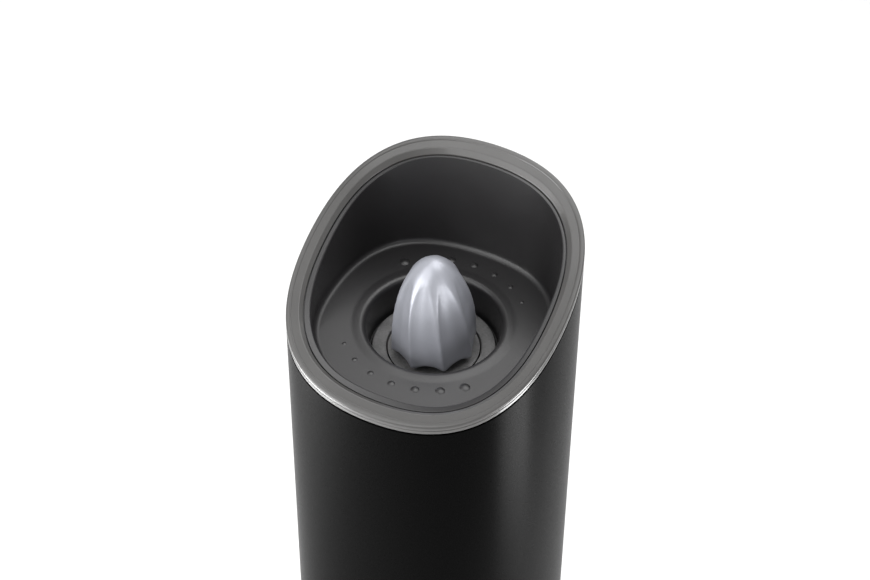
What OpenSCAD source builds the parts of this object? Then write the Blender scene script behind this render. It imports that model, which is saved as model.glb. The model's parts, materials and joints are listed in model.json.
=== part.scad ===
// Electric tilt mill for pepper or salt, with its grinder in a slanted mouth at the top.
// A motor base stands on the table. The grinding head pulls straight up off its spigot,
// so that the spice chamber in the head can be filled through its open lower end.
// Origin: bottom centre, on the table. +Z up, -Y the low front of the mouth, +Y its high rear.

/* [Body] */
// Width of the body across its flat sides
body_w = 60; // [58:0.5:72]
// How far the rounded corners stand out, as a share of the section's mean radius
corner_share = 0.028; // [0.016:0.002:0.034]
// Wall of the head's sleeve
sleeve_wall = 1.2; // [0.8:0.1:1.6]
// Wall of the motor base's shell
shell_wall = 1.8; // [1.4:0.1:2.4]

/* [Heights] */
// Height of the motor base, from the table to the parting line
base_h = 96; // [94:1:120]
// From the parting line up to the floor of the mouth
head_h = 92; // [80:1:120]
// Slope of the mouth's rim, in degrees
mouth_tilt = 24.5; // [18:0.5:28]
// Height of the rim over the mouth's floor, at the low front of the mouth's wall
rim_front = 2.3; // [1.6:0.1:5]

/* [Mouth] */
// Height of the rim's outer face
rim_face = 2; // [1.4:0.1:3]
// Width of the rim's ring, seen from above
rim_w = 3.9; // [3.6:0.1:4.6]
// Distance from the body's surface to the foot of the mouth's wall
wall_inset = 5.6; // [5:0.1:7]
// Gap between the outer burr and the throat around it
throat_gap = 0.3; // [0.2:0.05:0.6]
// Radius that rounds the throat's upper edge
throat_round = 2.2; // [1:0.1:2.6]
// Where the circle of dots lies on the floor, as a share from the throat to the wall
dot_place = 0.42; // [0.3:0.02:0.6]
// Number of dots in each of the two rows
dot_count = 7; // [3:1:7]

/* [Knob] */
// Radius of the knob's foot, over its ribs
knob_r = 9.5; // [8.4:0.1:11]
// Height of the knob
knob_h = 24.6; // [20:0.2:30]
// Number of ribs and flutes
knob_ribs = 8; // [6:1:10]
// Depth of the flutes at the foot
flute_depth = 0.6; // [0.4:0.1:1.2]

/* [Grinder] */
// Thickness of the outer burr at its upper face
burr_wall = 3.3; // [2.6:0.1:4]
// Height of the burrs
burr_h = 14; // [12:0.5:16]
// Gap between the burrs at the finest setting
grind_gap = 0.3; // [0.2:0.05:0.5]
// Rise of the inner burr for one turn of the knob
thread_pitch = 0.8; // [0.5:0.1:1]
// Radius of the drive shaft
shaft_r = 2.9; // [2.6:0.1:3.2]

/* [Drive] */
// Size of the gear teeth, as a module
tooth_module = 0.6; // [0.5:0.02:0.62]
// Radius of the motor's can
motor_r = 12; // [11:0.1:12.3]
// Length of the motor's can
motor_len = 30; // [26:1:32]
// Radius of a battery cell
cell_r = 7; // [6:0.1:7.2]
// Length of a battery cell
cell_len = 50; // [40:1:54]
// Distance across the flats of the drive hexagon
dog_af = 8; // [6:0.5:9]

/* [Hidden] */
$fn = 72;
big = 400;                          // larger than the whole mill
step_a = 3;                         // angle between the points of a body section
r_mean = body_w / 2 / (1 - corner_share);
seam = 0.4;                         // open seam between two outer shells
slide_fit = 0.35;                   // room between the head and the spigot
snug = 0.15;                        // room between pieces that are fixed together
run_fit = 0.05;                     // room around a turning shaft

// Mouth
floor_z = base_h + head_h;
floor_t = 2;                        // thickness of the mouth's floor
wall_foot = body_w / 2 - wall_inset;
rim_rise = rim_front + tan(mouth_tilt) * wall_foot;   // height of the rim over the floor, on the axis
outlet_r = knob_r + 0.8;            // outer burr's opening at its upper face
burr_r = outlet_r + burr_wall;
throat_r = burr_r + throat_gap;
throat_flare = 0.7;                 // how much wider the throat is at its upper end
lip_r = throat_r + throat_flare + throat_round;
skirt_t = 0.9;                      // skirt of the rim ring, inside the sleeve
skirt_h = 3;
insert_inset = sleeve_wall + snug + skirt_t + snug;
wall_draft = 0.052;                 // how fast the mouth's wall widens upwards
burr_drop = 6.9;                    // from the mouth's floor down to the outer burr
burr_z = floor_z - burr_drop;
cage_wall = 3;
cage_r = burr_r + cage_wall;
collar_r = cage_r + 0.4;
collar_z = burr_z - 1;
dot_circle_r = lip_r + dot_place * (wall_foot - lip_r);
dot_step = 15;                      // angle between two dots
dot_first = -135;                   // where the front row begins, at its smallest dot
dot_r_min = 0.5;
dot_r_max = 1.15;
dot_rise = 0.35;                    // share of a dot's radius that stands out of the floor

// Grinder
burr_foot_z = burr_z - burr_h;
fine_h = 4;                         // height of the finely toothed zone
fine_in = 0.8;                      // how much narrower the fine zone is at its lower end
intake_r = burr_r - burr_wall / 2;
coarse_tooth = 0.7 * burr_wall;     // width of the coarse teeth
clean_edge = 1.2;                   // untoothed band at the burrs' upper faces
rotor_foot_r = 5.6;
rotor_top_drop = 0.3;
rotor_top_z = burr_z - rotor_top_drop;
washer_t = 0.8;
knob_foot_z = rotor_top_z + washer_t;
skirt_lift = 0.4;                   // the knob's fluted skirt stays clear of the burr
knob_first = -7;                    // angle of the first rib
knob_twist = -10;                   // how far the ribs lean round from foot to tip
scallop_rise = 1;                   // arches in the skirt's lower edge, between the ribs
square_w = 4;                       // square part of the shaft
stud_r = 1.95;                      // threaded end of the shaft
stud_len = 15;
spring_r = 3.6;                     // middle of the spring's wire
spring_wire = 0.7;
spring_turns = 5;
spring_pocket = 6;                  // depth of the inner burr's pocket around the spring
spring_rest = 0.05;                 // room at each end of the spring
seat_t = 0.6;
seat_gap = 0.9;                     // from the inner burr's foot down to the spring's seat
hub_len = 10;
hub_top_z = burr_foot_z - seat_gap - seat_t;
hub_foot_z = hub_top_z - hub_len;
bush_r = shaft_r + 1.6;
hub_r = bush_r + 1.1;
cage_foot_z = burr_foot_z - 1.6;
ledge_r = burr_r - 1.2;             // the outer burr stands on the cage's ledge
flange_t = 2;
screw_r = 1.1;
screw_len = 12;
boss_r = 2.3;
screw_circle_r = cage_r + boss_r + 0.1;
flange_r = screw_circle_r + boss_r + 0.1;
spoke_first = 30;                   // angle of the cage's first spoke
spoke_foot_r = 2;
clip_t = 0.8;
clip_groove = 0.5;

// Chamber and coupling
gasket_t = 1;
chamber_inset = sleeve_wall + 0.4;
chamber_wall = 1.6;
chamber_top_z = cage_foot_z - gasket_t;
chamber_plate_t = 1.5;
chamber_hole_r = cage_r + 0.4;
chamber_foot_z = base_h + 1;
chamber_in = chamber_inset + chamber_wall;
spigot_h = 9.6;
spigot_inset = chamber_in + slide_fit;
spigot_wall = 2;
deck_z = base_h - seam / 2;         // top edge of the base's shell
deck_t = 2.3;
spigot_top_z = deck_z + spigot_h;
seal_h = 2;
seal_z = deck_z + 3.4;
seal_room = 0.1;
dog_z = spigot_top_z + 1;
dog_h = 6;
socket_z = dog_z + 1;
hex_room = 0.3;
socket_r = (dog_af + hex_room) / 2 / cos(30) + 2.2;
socket_depth = dog_h + 0.5;
socket_len = socket_depth + 4;
socket_top_z = socket_z + socket_len;
pin_z = socket_top_z - 2;
pin_inset = 0.6;                    // how far the pin's ends stay inside the socket
pin_r = 0.8;

// Gearbox
sun_teeth = 12;
planet_teeth = 18;
ring_teeth = sun_teeth + 2 * planet_teeth;
planet_count = 3;
pressure_angle = 25;
addendum = 0.95;                    // in modules
ring_addendum = 0.8;
dedendum = 1.25;
backlash = 0.05;                    // taken off each flank
gear_c = tooth_module * (sun_teeth + planet_teeth) / 2;
gear_t = 7;
gearbox_wall = 3.6;
gearbox_r = tooth_module * (ring_teeth / 2 + dedendum) + gearbox_wall;
gearbox_top_z = spigot_top_z - spigot_wall;
bush_lip = 1.2;                     // how far the cover's bush hangs below the cover
gear_lift = 0.4;                    // from the motor plate up to the gears
carrier_lift = 0.8;                 // from the gears up to the carrier
carrier_t = 3;
cover_t = 3;
gearbox_h = gear_lift + gear_t + carrier_lift + carrier_t + 0.6 + bush_lip + cover_t;
gearbox_foot_z = gearbox_top_z - gearbox_h;
gear_z = gearbox_foot_z + gear_lift;
carrier_z = gear_z + gear_t + carrier_lift;
carrier_r = gear_c + 3.6;
out_r = 3;                          // output shaft
cover_bush_r = out_r + 2;
cover_screw_r = 0.9;
cover_screw_circle_r = gearbox_r - 1.9;
lug_circle_r = gearbox_r + 2.4;
lug_r = 2.6;
lug_screw_r = 1.2;
lug_screw_bite = 1.5;               // how deep the screws reach into the spigot's top
cover_z = gearbox_top_z - cover_t;
planet_pin_r = 1.5;
seal_lip_r = out_r + 3.4;           // dust seal, set in the spigot's top

// Motor
plate_t = 3;
plate_z = gearbox_foot_z - plate_t;
cover_screw_foot_z = plate_z + 0.6;
motor_foot_z = plate_z - motor_len;
can_t = 1;
magnet_t = 1.5;
armature_room = 0.6;
armature_r = motor_r - can_t - magnet_t - armature_room;
motor_shaft_r = 1;
motor_bush_r = motor_shaft_r + 2;
boss_hole_r = motor_bush_r + 0.2;
motor_screw_r = 1.2;
motor_screw_x = motor_r - 4;
bell_t = 5;
motor_lead_y = motor_r - 4;

// Battery, board and bottom
foot_t = 1.6;
bottom_t = 2.4;
bottom_z = foot_t;
board_z = bottom_z + bottom_t + 4;
board_t = 1.6;
board_r = 22.5;
board_screw_r = 0.9;
board_hole_r = 1;
usb_w = 8.9;
usb_h = 3.2;
cradle_z = board_z + board_t + usb_h + 0.5;
cradle_t = 2;
cradle_inset = shell_wall + 3;
contact_t = 0.4;
cell_z = cradle_z + cradle_t + contact_t;
cell_x = motor_r + 0.6 + cell_r;
cap_t = 1.6;
post_x = cell_x + 2.4;
post_y = cell_r + 3.8;
post_r = 2.4;
corner_boss_r = 3;
corner_boss_c = r_mean * (1 + corner_share) - shell_wall - corner_boss_r + 0.4;
corner_boss_h = 9;
lead_r = 0.5;
lead_x = cell_x - 2.6;              // leads from the cells' upper contacts
lead_y = cell_r + 2.2;
usb_depth = 8.2;
usb_wall = 0.4;
usb_z = board_z + board_t;
usb_y = body_w / 2 - 0.5;
light_r = 1;
light_x = 8;
tilt_y = -19;
tilt_r = 3.2;
tilt_h = 8;
tilt_wall = 0.6;
tilt_ball_r = 2.4;

// ---------- Shared shapes ----------

// Radius of the body's rounded-square section: flats on the axes, corners between them.
function body_r(a) = r_mean * (1 - corner_share * cos(4 * a));
function body_points(inset) =
    [for (a = [0:step_a:360 - step_a]) (body_r(a) - inset) * [cos(a), sin(a)]];

module body_prism(inset, z0, z1)
    translate([0, 0, z0]) linear_extrude(z1 - z0) polygon(body_points(inset));

module body_tube(outer, inner, z0, z1)
    difference() {
        body_prism(outer, z0, z1);
        body_prism(inner, z0 - 1, z1 + 1);
    }

// Everything lower than the rim's plane, taken down by drop.
module below_rim(drop)
    translate([0, 0, floor_z + rim_rise - drop]) rotate([mouth_tilt, 0, 0])
        translate([-big / 2, -big / 2, -big]) cube(big);

module below_rim_between(top, bottom)
    difference() {
        below_rim(top);
        below_rim(bottom);
    }

module disc(r, z0, z1) translate([0, 0, z0]) cylinder(h = z1 - z0, r = r);

module ring(r_out, r_in, z0, z1)
    difference() {
        disc(r_out, z0, z1);
        disc(r_in, z0 - 1, z1 + 1);
    }

module hexagon(af, z0, z1) translate([0, 0, z0]) cylinder(h = z1 - z0, d = af / cos(30), $fn = 6);

module around(count, r, first = 0)
    for (i = [0:count - 1]) rotate([0, 0, first + i * 360 / count]) translate([r, 0, 0]) children();

module four_corners(x, y) for (sx = [-1, 1], sy = [-1, 1]) translate([sx * x, sy * y, 0]) children();

// A pan-head screw that stands on z, with its shank pointing up.
module screw_up(r, z, len, head_t)
    union() {
        difference() {
            disc(r * 1.8, z - head_t, z);
            hexagon(r * 1.6, z - head_t - 1, z - head_t * 0.4);
        }
        disc(r, z - 0.01, z + len);
    }

// ---------- Head: outside ----------

module head_sleeve()
    color([0.07, 0.07, 0.07])
        difference() {
            union() {
                intersection() {
                    body_prism(0, base_h + seam / 2, floor_z + body_w);
                    below_rim(rim_face + seam * 0.75);
                }
                body_prism(shell_wall, deck_z, base_h + seam);
            }
            body_prism(sleeve_wall, chamber_foot_z, floor_z + body_w + 1);
            body_prism(chamber_in, deck_z - 1, chamber_foot_z + 1);
        }

module rim_ring()
    color([0.36, 0.36, 0.35]) {
        bead_w = 1;
        groove_w = 0.25;
        band_end = 2.7;
        intersection() {
            difference() {
                body_prism(0, floor_z - body_w, floor_z + body_w);
                body_prism(rim_w, floor_z - body_w - 1, floor_z + body_w + 1);
                intersection() {
                    body_tube(bead_w, bead_w + groove_w, floor_z - body_w, floor_z + body_w);
                    below_rim_between(-1, groove_w);
                }
                intersection() {
                    body_tube(band_end, rim_w + 1, floor_z - body_w, floor_z + body_w);
                    below_rim_between(-1, rim_face * 0.35);
                }
            }
            below_rim_between(0, rim_face);
        }
        intersection() {
            body_tube(sleeve_wall + snug, sleeve_wall + snug + skirt_t, floor_z - body_w, floor_z + body_w);
            below_rim_between(rim_face - 0.01, rim_face + skirt_h);
        }
    }

// ---------- Head: mouth insert ----------

module throat_cut() {
    depth = burr_drop + 3;
    rotate_extrude()
        translate([0, floor_z])
            difference() {
                translate([0, -depth]) square([lip_r, depth + 1]);
                translate([throat_r + throat_flare, -throat_round]) difference() {
                    translate([0, -depth]) square([throat_round + 2, depth + throat_round]);
                    translate([-1, 0]) square([throat_round + 1.001, throat_round + 1]);
                }
                translate([lip_r, -throat_round]) circle(r = throat_round);
                polygon([
                    [throat_r + throat_flare + 0.01, -throat_round], [throat_r, -depth],
                    [throat_r + throat_flare + 0.01, -depth - 0.01]
                ]);
            }
}

module dots()
    for (side = [0, 180], i = [0:dot_count - 1]) {
        dot_r = dot_r_min + (dot_r_max - dot_r_min) * i / (dot_count - 1);
        rotate([0, 0, dot_first + side + i * dot_step])
            translate([dot_circle_r, 0, floor_z - dot_r * (1 - dot_rise)]) sphere(r = dot_r, $fn = 32);
    }

module mouth_insert()
    color([0.24, 0.24, 0.245]) {
        wall_span = 2 * body_w;
        difference() {
            union() {
                intersection() {
                    body_prism(insert_inset, floor_z - floor_t, floor_z + body_w);
                    below_rim(rim_face);
                }
                disc(collar_r, collar_z, floor_z - floor_t + 0.01);
                around(3, screw_circle_r, 90) disc(boss_r, cage_foot_z + flange_t, floor_z - floor_t + 0.01);
            }
            translate([0, 0, floor_z])
                linear_extrude(wall_span, scale = 1 + wall_draft * wall_span / wall_foot)
                    polygon(body_points(wall_inset));
            throat_cut();
            around(3, screw_circle_r, 90) disc(screw_r, cage_foot_z, floor_z - floor_t - 2);
        }
        intersection() {
            dots();
            disc(body_w, floor_z - 0.01, floor_z + 5);
        }
    }

// ---------- Head: knob and grinder ----------

// Share of the knob's foot radius at height share t, for a blunt bullet shape.
function knob_profile(t) = pow(max(0, 1 - pow(t, 2.1)), 0.58);
// 0 on a rib and 1 in the middle of a flute. The ribs lean round on the way up.
function knob_wave(a, t) = pow(abs(sin(knob_ribs * (a - knob_first - knob_twist * t) / 2)), 1.2);
function knob_side_r(a, t) = knob_profile(t) * (knob_r - flute_depth * (1 - pow(t, 3)) * knob_wave(a, t));
// The skirt's lower edge arches up between the ribs.
function knob_edge_z(a) = knob_foot_z + skirt_lift + scallop_rise * knob_wave(a, 0);

// The fluted shell, hollow underneath around the hub.
module knob_form() {
    sides = knob_ribs * 6;
    rings = 12;
    last = 0.985;                   // height share of the last ring below the tip
    hollow_z = knob_foot_z + 4;
    angles = [for (i = [0:sides - 1]) 360 * i / sides];
    shares = [for (k = [0:rings]) last * (1 - pow(1 - k / rings, 1.7))];
    outer = [for (t = shares, a = angles) let (r = knob_side_r(a, t))
        [r * cos(a), r * sin(a), knob_edge_z(a) * (1 - t) + (knob_foot_z + knob_h) * t]];
    edge = [for (a = angles) [(knob_r - 2.1) * cos(a), (knob_r - 2.1) * sin(a), knob_edge_z(a)]];
    hollow = [for (a = angles) [(knob_r - 2.6) * cos(a), (knob_r - 2.6) * sin(a), hollow_z]];
    tip = [[0, 0, knob_foot_z + knob_h]];
    first_edge = (rings + 1) * sides;
    first_hollow = first_edge + sides;
    tip_index = first_hollow + sides;
    faces = [for (i = [0:sides - 1]) let (j = (i + 1) % sides) each concat(
        [for (k = [0:rings - 1]) each [
            [k * sides + i, (k + 1) * sides + j, k * sides + j],
            [k * sides + i, (k + 1) * sides + i, (k + 1) * sides + j]]],
        [[rings * sides + i, tip_index, rings * sides + j]],
        [[i, j, first_edge + j], [i, first_edge + j, first_edge + i]],
        [[first_edge + i, first_edge + j, first_hollow + j],
         [first_edge + i, first_hollow + j, first_hollow + i]])];
    ceiling = [for (i = [0:sides - 1]) first_hollow + i];
    polyhedron(concat(outer, edge, hollow, tip), concat(faces, [ceiling]), convexity = 6);
}

module adjuster_knob()
    color([0.62, 0.63, 0.66]) {
        hub_r = stud_r + 2.2;
        difference() {
            union() {
                knob_form();
                disc(hub_r, knob_foot_z, knob_foot_z + 6);
            }
            disc(stud_r + run_fit, knob_foot_z - 1, knob_foot_z + stud_len + thread_pitch);
        }
    }

module knob_washer()
    color([0.75, 0.75, 0.74]) ring(stud_r + 2, stud_r + run_fit, rotor_top_z, rotor_top_z + washer_t);

// Square cutters set on edge, leaning round the burr, from z0 up to z1.
module burr_teeth(count, r, width, z0, z1, lean)
    around(count, r) translate([0, 0, z0]) rotate([lean, 0, 0])
        rotate([0, 0, 45]) translate([-width / 2, -width / 2, 0]) cube([width, width, z1 - z0]);

module outer_burr()
    color([0.42, 0.42, 0.42])
        difference() {
            rotate_extrude()
                polygon([
                    [outlet_r, burr_z], [outlet_r - fine_in, burr_z - fine_h], [intake_r, burr_foot_z],
                    [burr_r, burr_foot_z], [burr_r, burr_z]
                ]);
            burr_teeth(24, outlet_r - fine_in / 2, 1, burr_z - fine_h, burr_z - clean_edge, 12);
            burr_teeth(12, (outlet_r + intake_r) / 2, coarse_tooth, burr_foot_z - 1, burr_z - fine_h, 10);
        }

module inner_burr()
    color([0.42, 0.42, 0.42])
        difference() {
            rotate_extrude()
                polygon([
                    [0, burr_foot_z], [rotor_foot_r, burr_foot_z],
                    [outlet_r - fine_in - grind_gap, burr_z - fine_h],
                    [outlet_r - grind_gap - 0.06, rotor_top_z], [0, rotor_top_z]
                ]);
            translate([-square_w / 2 - run_fit, -square_w / 2 - run_fit, burr_foot_z - 1])
                cube([square_w + 2 * run_fit, square_w + 2 * run_fit, burr_h + 2]);
            disc(spring_r + spring_wire, burr_foot_z - 1, burr_foot_z + spring_pocket);
            burr_teeth(20, outlet_r - fine_in / 2, 1, burr_z - fine_h, rotor_top_z - clean_edge, -12);
            around(6, rotor_foot_r + 2.6)
                translate([0, 0, burr_foot_z + 3]) rotate([20, 22, 0]) disc(1.6, -8, 5);
        }

module burr_spring()
    color([0.7, 0.7, 0.7]) {
        z0 = burr_foot_z - seat_gap + spring_wire / 2 + spring_rest;
        z1 = burr_foot_z + spring_pocket - spring_wire / 2 - spring_rest;
        per_turn = 16;
        sides = 6;
        rings = spring_turns * per_turn;
        points = [for (k = [0:rings], s = [0:sides - 1])
            let (a = 360 * k / per_turn, b = 360 * s / sides,
                 r = spring_r + spring_wire / 2 * cos(b),
                 z = z0 + (z1 - z0) * k / rings + spring_wire / 2 * sin(b))
                [r * cos(a), r * sin(a), z]];
        side_faces = [for (k = [0:rings - 1], s = [0:sides - 1])
            let (t = (s + 1) % sides)
                each [[k * sides + s, k * sides + t, (k + 1) * sides + t],
                      [k * sides + s, (k + 1) * sides + t, (k + 1) * sides + s]]];
        start = [for (s = [sides - 1:-1:0]) s];
        end = [for (s = [0:sides - 1]) rings * sides + s];
        polyhedron(points, concat(side_faces, [start, end]), convexity = 10);
    }

module spring_seat()
    color([0.75, 0.75, 0.74])
        difference() {
            disc(spring_r + 0.8, burr_foot_z - seat_gap - seat_t, burr_foot_z - seat_gap);
            translate([-square_w / 2 - run_fit, -square_w / 2 - run_fit, burr_foot_z - 3])
                cube([square_w + 2 * run_fit, square_w + 2 * run_fit, 6]);
        }

module burr_cage()
    color([0.16, 0.16, 0.16]) {
        spoke_w = 2.6;
        spoke_z = hub_foot_z + 3;
        difference() {
            union() {
                ring(cage_r, burr_r + run_fit, cage_foot_z, collar_z);
                ring(cage_r - 1, ledge_r, cage_foot_z, burr_foot_z);
                ring(flange_r, cage_r - 1, cage_foot_z, cage_foot_z + flange_t);
                disc(hub_r, hub_foot_z, hub_top_z);
                intersection() {
                    around(3, 0, spoke_first) translate([0, -spoke_w / 2, spoke_z])
                        cube([cage_r, spoke_w, hub_top_z - spoke_z - 0.4]);
                    disc(ledge_r + 1, hub_foot_z, burr_foot_z);
                }
                around(3, burr_r, spoke_first) disc(spoke_foot_r, spoke_z, cage_foot_z + 1);
            }
            disc(bush_r, hub_foot_z - 1, hub_top_z + 1);
            around(3, screw_circle_r, 90) disc(screw_r + snug, cage_foot_z - 1, cage_foot_z + flange_t + 1);
        }
    }

module cage_screws()
    color([0.72, 0.72, 0.7])
        around(3, screw_circle_r, 90) screw_up(screw_r, chamber_top_z - chamber_plate_t, screw_len, 0.9);

module shaft_bush()
    color([0.72, 0.55, 0.3]) ring(bush_r, shaft_r + run_fit, hub_foot_z, hub_top_z);

module shaft_clip()
    color([0.6, 0.6, 0.58])
        difference() {
            ring(shaft_r + 2, shaft_r - clip_groove, hub_foot_z - clip_t, hub_foot_z);
            translate([0, -shaft_r * 0.6, hub_foot_z - 2]) cube([10, shaft_r * 1.2, 4]);
        }

module drive_shaft()
    color([0.72, 0.72, 0.72])
        difference() {
            union() {
                disc(shaft_r, socket_z + socket_depth, hub_top_z);
                translate([-square_w / 2, -square_w / 2, hub_top_z - 1])
                    cube([square_w, square_w, rotor_top_z - hub_top_z + 1]);
                disc(stud_r, rotor_top_z - 1, knob_foot_z + stud_len);
            }
            ring(shaft_r + 1, shaft_r - clip_groove, hub_foot_z - clip_t, hub_foot_z);
            translate([0, 0, pin_z]) rotate([90, 0, 0]) disc(pin_r, -socket_r - 1, socket_r + 1);
        }

module coupling_socket()
    color([0.2, 0.2, 0.2])
        difference() {
            disc(socket_r, socket_z, socket_top_z);
            hexagon(dog_af + hex_room, socket_z - 1, socket_z + socket_depth);
            disc(shaft_r, socket_z + socket_depth - 0.01, socket_top_z + 1);
            translate([0, 0, pin_z]) rotate([90, 0, 0]) disc(pin_r, -socket_r - 1, socket_r + 1);
        }

module coupling_pin()
    color([0.72, 0.72, 0.72])
        translate([0, 0, pin_z]) rotate([90, 0, 0]) disc(pin_r, pin_inset - socket_r, socket_r - pin_inset);

module spice_chamber()
    color([0.55, 0.56, 0.58, 0.4]) {
        body_tube(chamber_inset, chamber_in, chamber_foot_z, chamber_top_z);
        body_tube(sleeve_wall + 0.05, chamber_inset + 0.1, chamber_foot_z, chamber_foot_z + 2.5);
        difference() {
            body_prism(chamber_in - 0.1, chamber_top_z - chamber_plate_t, chamber_top_z);
            disc(chamber_hole_r, chamber_top_z - 5, chamber_top_z + 1);
            around(3, screw_circle_r, 90) disc(screw_r + snug, chamber_top_z - 5, chamber_top_z + 1);
        }
    }

module chamber_gasket()
    color([0.1, 0.1, 0.1])
        difference() {
            ring(flange_r, cage_r - 2, chamber_top_z, cage_foot_z);
            around(3, screw_circle_r, 90) disc(screw_r + snug, chamber_top_z - 1, cage_foot_z + 1);
            around(3, burr_r, spoke_first)
                disc(spoke_foot_r + snug, chamber_top_z - 1, cage_foot_z + 1);
        }

// ---------- Base: shell, deck and bottom ----------

module base_shell()
    color([0.07, 0.07, 0.07])
        difference() {
            union() {
                body_tube(0, shell_wall, bottom_z, deck_z);
                intersection() {
                    four_corners(corner_boss_c * cos(45), corner_boss_c * sin(45))
                        disc(corner_boss_r, bottom_z + bottom_t, bottom_z + bottom_t + corner_boss_h);
                    body_prism(shell_wall - 0.1, bottom_z, deck_z);
                }
            }
            four_corners(corner_boss_c * cos(45), corner_boss_c * sin(45))
                disc(1.2, bottom_z, bottom_z + bottom_t + corner_boss_h - 1);
            translate([-usb_w / 2 - snug, body_w / 2 - shell_wall - 2, usb_z - snug])
                cube([usb_w + 2 * snug, shell_wall + 4, usb_h + 2 * snug]);
            translate([light_x, body_w / 2 + 2, usb_z + usb_h / 2]) rotate([90, 0, 0])
                cylinder(h = shell_wall + 4, r = light_r + run_fit);
        }

module base_deck()
    color([0.13, 0.13, 0.13])
        difference() {
            union() {
                body_prism(shell_wall + run_fit, deck_z - deck_t, deck_z);
                body_prism(spigot_inset, deck_z - 0.01, spigot_top_z);
            }
            body_prism(spigot_inset + spigot_wall, deck_z - deck_t - 1, spigot_top_z - spigot_wall);
            body_tube(spigot_inset - 1, spigot_inset + 1, seal_z, seal_z + seal_h);
            disc(seal_lip_r, gearbox_top_z - 1, spigot_top_z + 1);
            around(4, lug_circle_r, 45) disc(lug_screw_r, gearbox_top_z - 1, gearbox_top_z + lug_screw_bite);
        }

module dust_seal()
    color([0.1, 0.1, 0.1]) ring(seal_lip_r, out_r + run_fit, gearbox_top_z + 0.5, spigot_top_z);

module spigot_seal()
    color([0.09, 0.09, 0.09])
        body_tube(chamber_in + seal_room, spigot_inset + 1, seal_z + 0.1, seal_z + seal_h - 0.1);

module bottom_plate()
    color([0.1, 0.1, 0.1])
        difference() {
            union() {
                body_prism(shell_wall + run_fit, bottom_z, bottom_z + bottom_t);
                four_corners(post_x, post_y) disc(post_r, bottom_z + bottom_t - 0.01, board_z);
            }
            four_corners(post_x, post_y) disc(board_screw_r, bottom_z + 1, board_z + 1);
            four_corners(corner_boss_c * cos(45), corner_boss_c * sin(45)) {
                disc(1.3, bottom_z - 1, bottom_z + bottom_t + 1);
                disc(2.4, bottom_z - 1, bottom_z + 1.1);
            }
        }

module bottom_screws()
    color([0.72, 0.72, 0.7])
        four_corners(corner_boss_c * cos(45), corner_boss_c * sin(45)) screw_up(1.2, bottom_z + 1.1, 8, 1);

module foot_ring()
    color([0.05, 0.05, 0.05]) body_tube(shell_wall + 0.4, shell_wall + 6.4, 0, foot_t);

// ---------- Base: gearbox ----------

function involute(r, base) = tan(acos(base / r)) * 180 / PI - acos(base / r);

// Outline of a spur gear. half is half the tooth's angle on the pitch circle.
function gear_points(teeth, half, r_low, r_high) =
    let (
        pitch = tooth_module * teeth / 2,
        base = pitch * cos(pressure_angle),
        start = max(r_low, base + 0.001),
        steps = 4,
        radii = concat([start], [for (k = [0:steps]) start + (r_high - start) * k / steps]),
        flank = [for (k = [0:steps + 1])
            [k == 0 ? r_low : radii[k], half + involute(pitch, base) - involute(radii[k], base)]]
    )
        [for (i = [0:teeth - 1]) let (mid = 360 * i / teeth) each concat(
            [for (p = flank) p[0] * [cos(mid - p[1]), sin(mid - p[1])]],
            [for (k = [steps + 1:-1:0]) let (p = flank[k]) p[0] * [cos(mid + p[1]), sin(mid + p[1])]])];

function half_tooth(teeth, thinner) = 90 / teeth - thinner / (tooth_module * teeth / 2) * 180 / PI;

module gear(teeth, z0, z1, bore)
    difference() {
        translate([0, 0, z0]) linear_extrude(z1 - z0)
            polygon(gear_points(teeth, half_tooth(teeth, backlash), tooth_module * (teeth / 2 - dedendum),
                                tooth_module * (teeth / 2 + addendum)));
        disc(bore, z0 - 1, z1 + 1);
    }

module gearbox_housing()
    color([0.3, 0.31, 0.32])
        difference() {
            disc(gearbox_r, gearbox_foot_z, cover_z);
            disc(tooth_module * (ring_teeth / 2 + dedendum) + 0.3, gear_z + gear_t + 0.4, gearbox_top_z);
            disc(tooth_module * (ring_teeth / 2 - addendum), gearbox_foot_z - 1, gear_z);
            translate([0, 0, gear_z - 0.5]) linear_extrude(gear_t + 1) rotate(180 / ring_teeth)
                polygon(gear_points(ring_teeth, half_tooth(ring_teeth, -backlash),
                                    tooth_module * (ring_teeth / 2 - ring_addendum),
                                    tooth_module * (ring_teeth / 2 + dedendum)));
            around(3, cover_screw_circle_r) disc(cover_screw_r, gearbox_foot_z - 1, gearbox_top_z);
        }

module gearbox_cover()
    color([0.24, 0.24, 0.25])
        difference() {
            union() {
                disc(gearbox_r, cover_z, gearbox_top_z);
                around(4, lug_circle_r, 45) disc(lug_r, cover_z, gearbox_top_z);
                around(4, lug_circle_r - lug_r, 45)
                    translate([-lug_r, -lug_r, cover_z]) cube([lug_r * 2, lug_r * 2, cover_t]);
            }
            disc(cover_bush_r, cover_z - 1, gearbox_top_z + 1);
            around(4, lug_circle_r, 45) disc(lug_screw_r, cover_z - 1, gearbox_top_z + 1);
            around(3, cover_screw_circle_r) {
                disc(cover_screw_r, cover_z - 1, gearbox_top_z + 1);
                disc(cover_screw_r + 0.7, gearbox_top_z - 1.1, gearbox_top_z + 1);
            }
        }

module cover_screws()
    color([0.72, 0.72, 0.7])
        around(3, cover_screw_circle_r) {
            disc(cover_screw_r, cover_screw_foot_z, gearbox_top_z - 0.1);
            disc(cover_screw_r + 0.6, gearbox_top_z - 1.1, gearbox_top_z - 0.1);
        }

module cover_bush()
    color([0.72, 0.55, 0.3]) ring(cover_bush_r, out_r + run_fit, cover_z - bush_lip, gearbox_top_z);

module gearbox_screws()
    color([0.72, 0.72, 0.7])
        around(4, lug_circle_r, 45) screw_up(lug_screw_r, cover_z, cover_t + lug_screw_bite, 1.2);

module output_shaft()
    color([0.72, 0.72, 0.72]) {
        disc(out_r, carrier_z, dog_z + 0.01);
        hexagon(dog_af, dog_z, dog_z + dog_h);
    }

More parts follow.
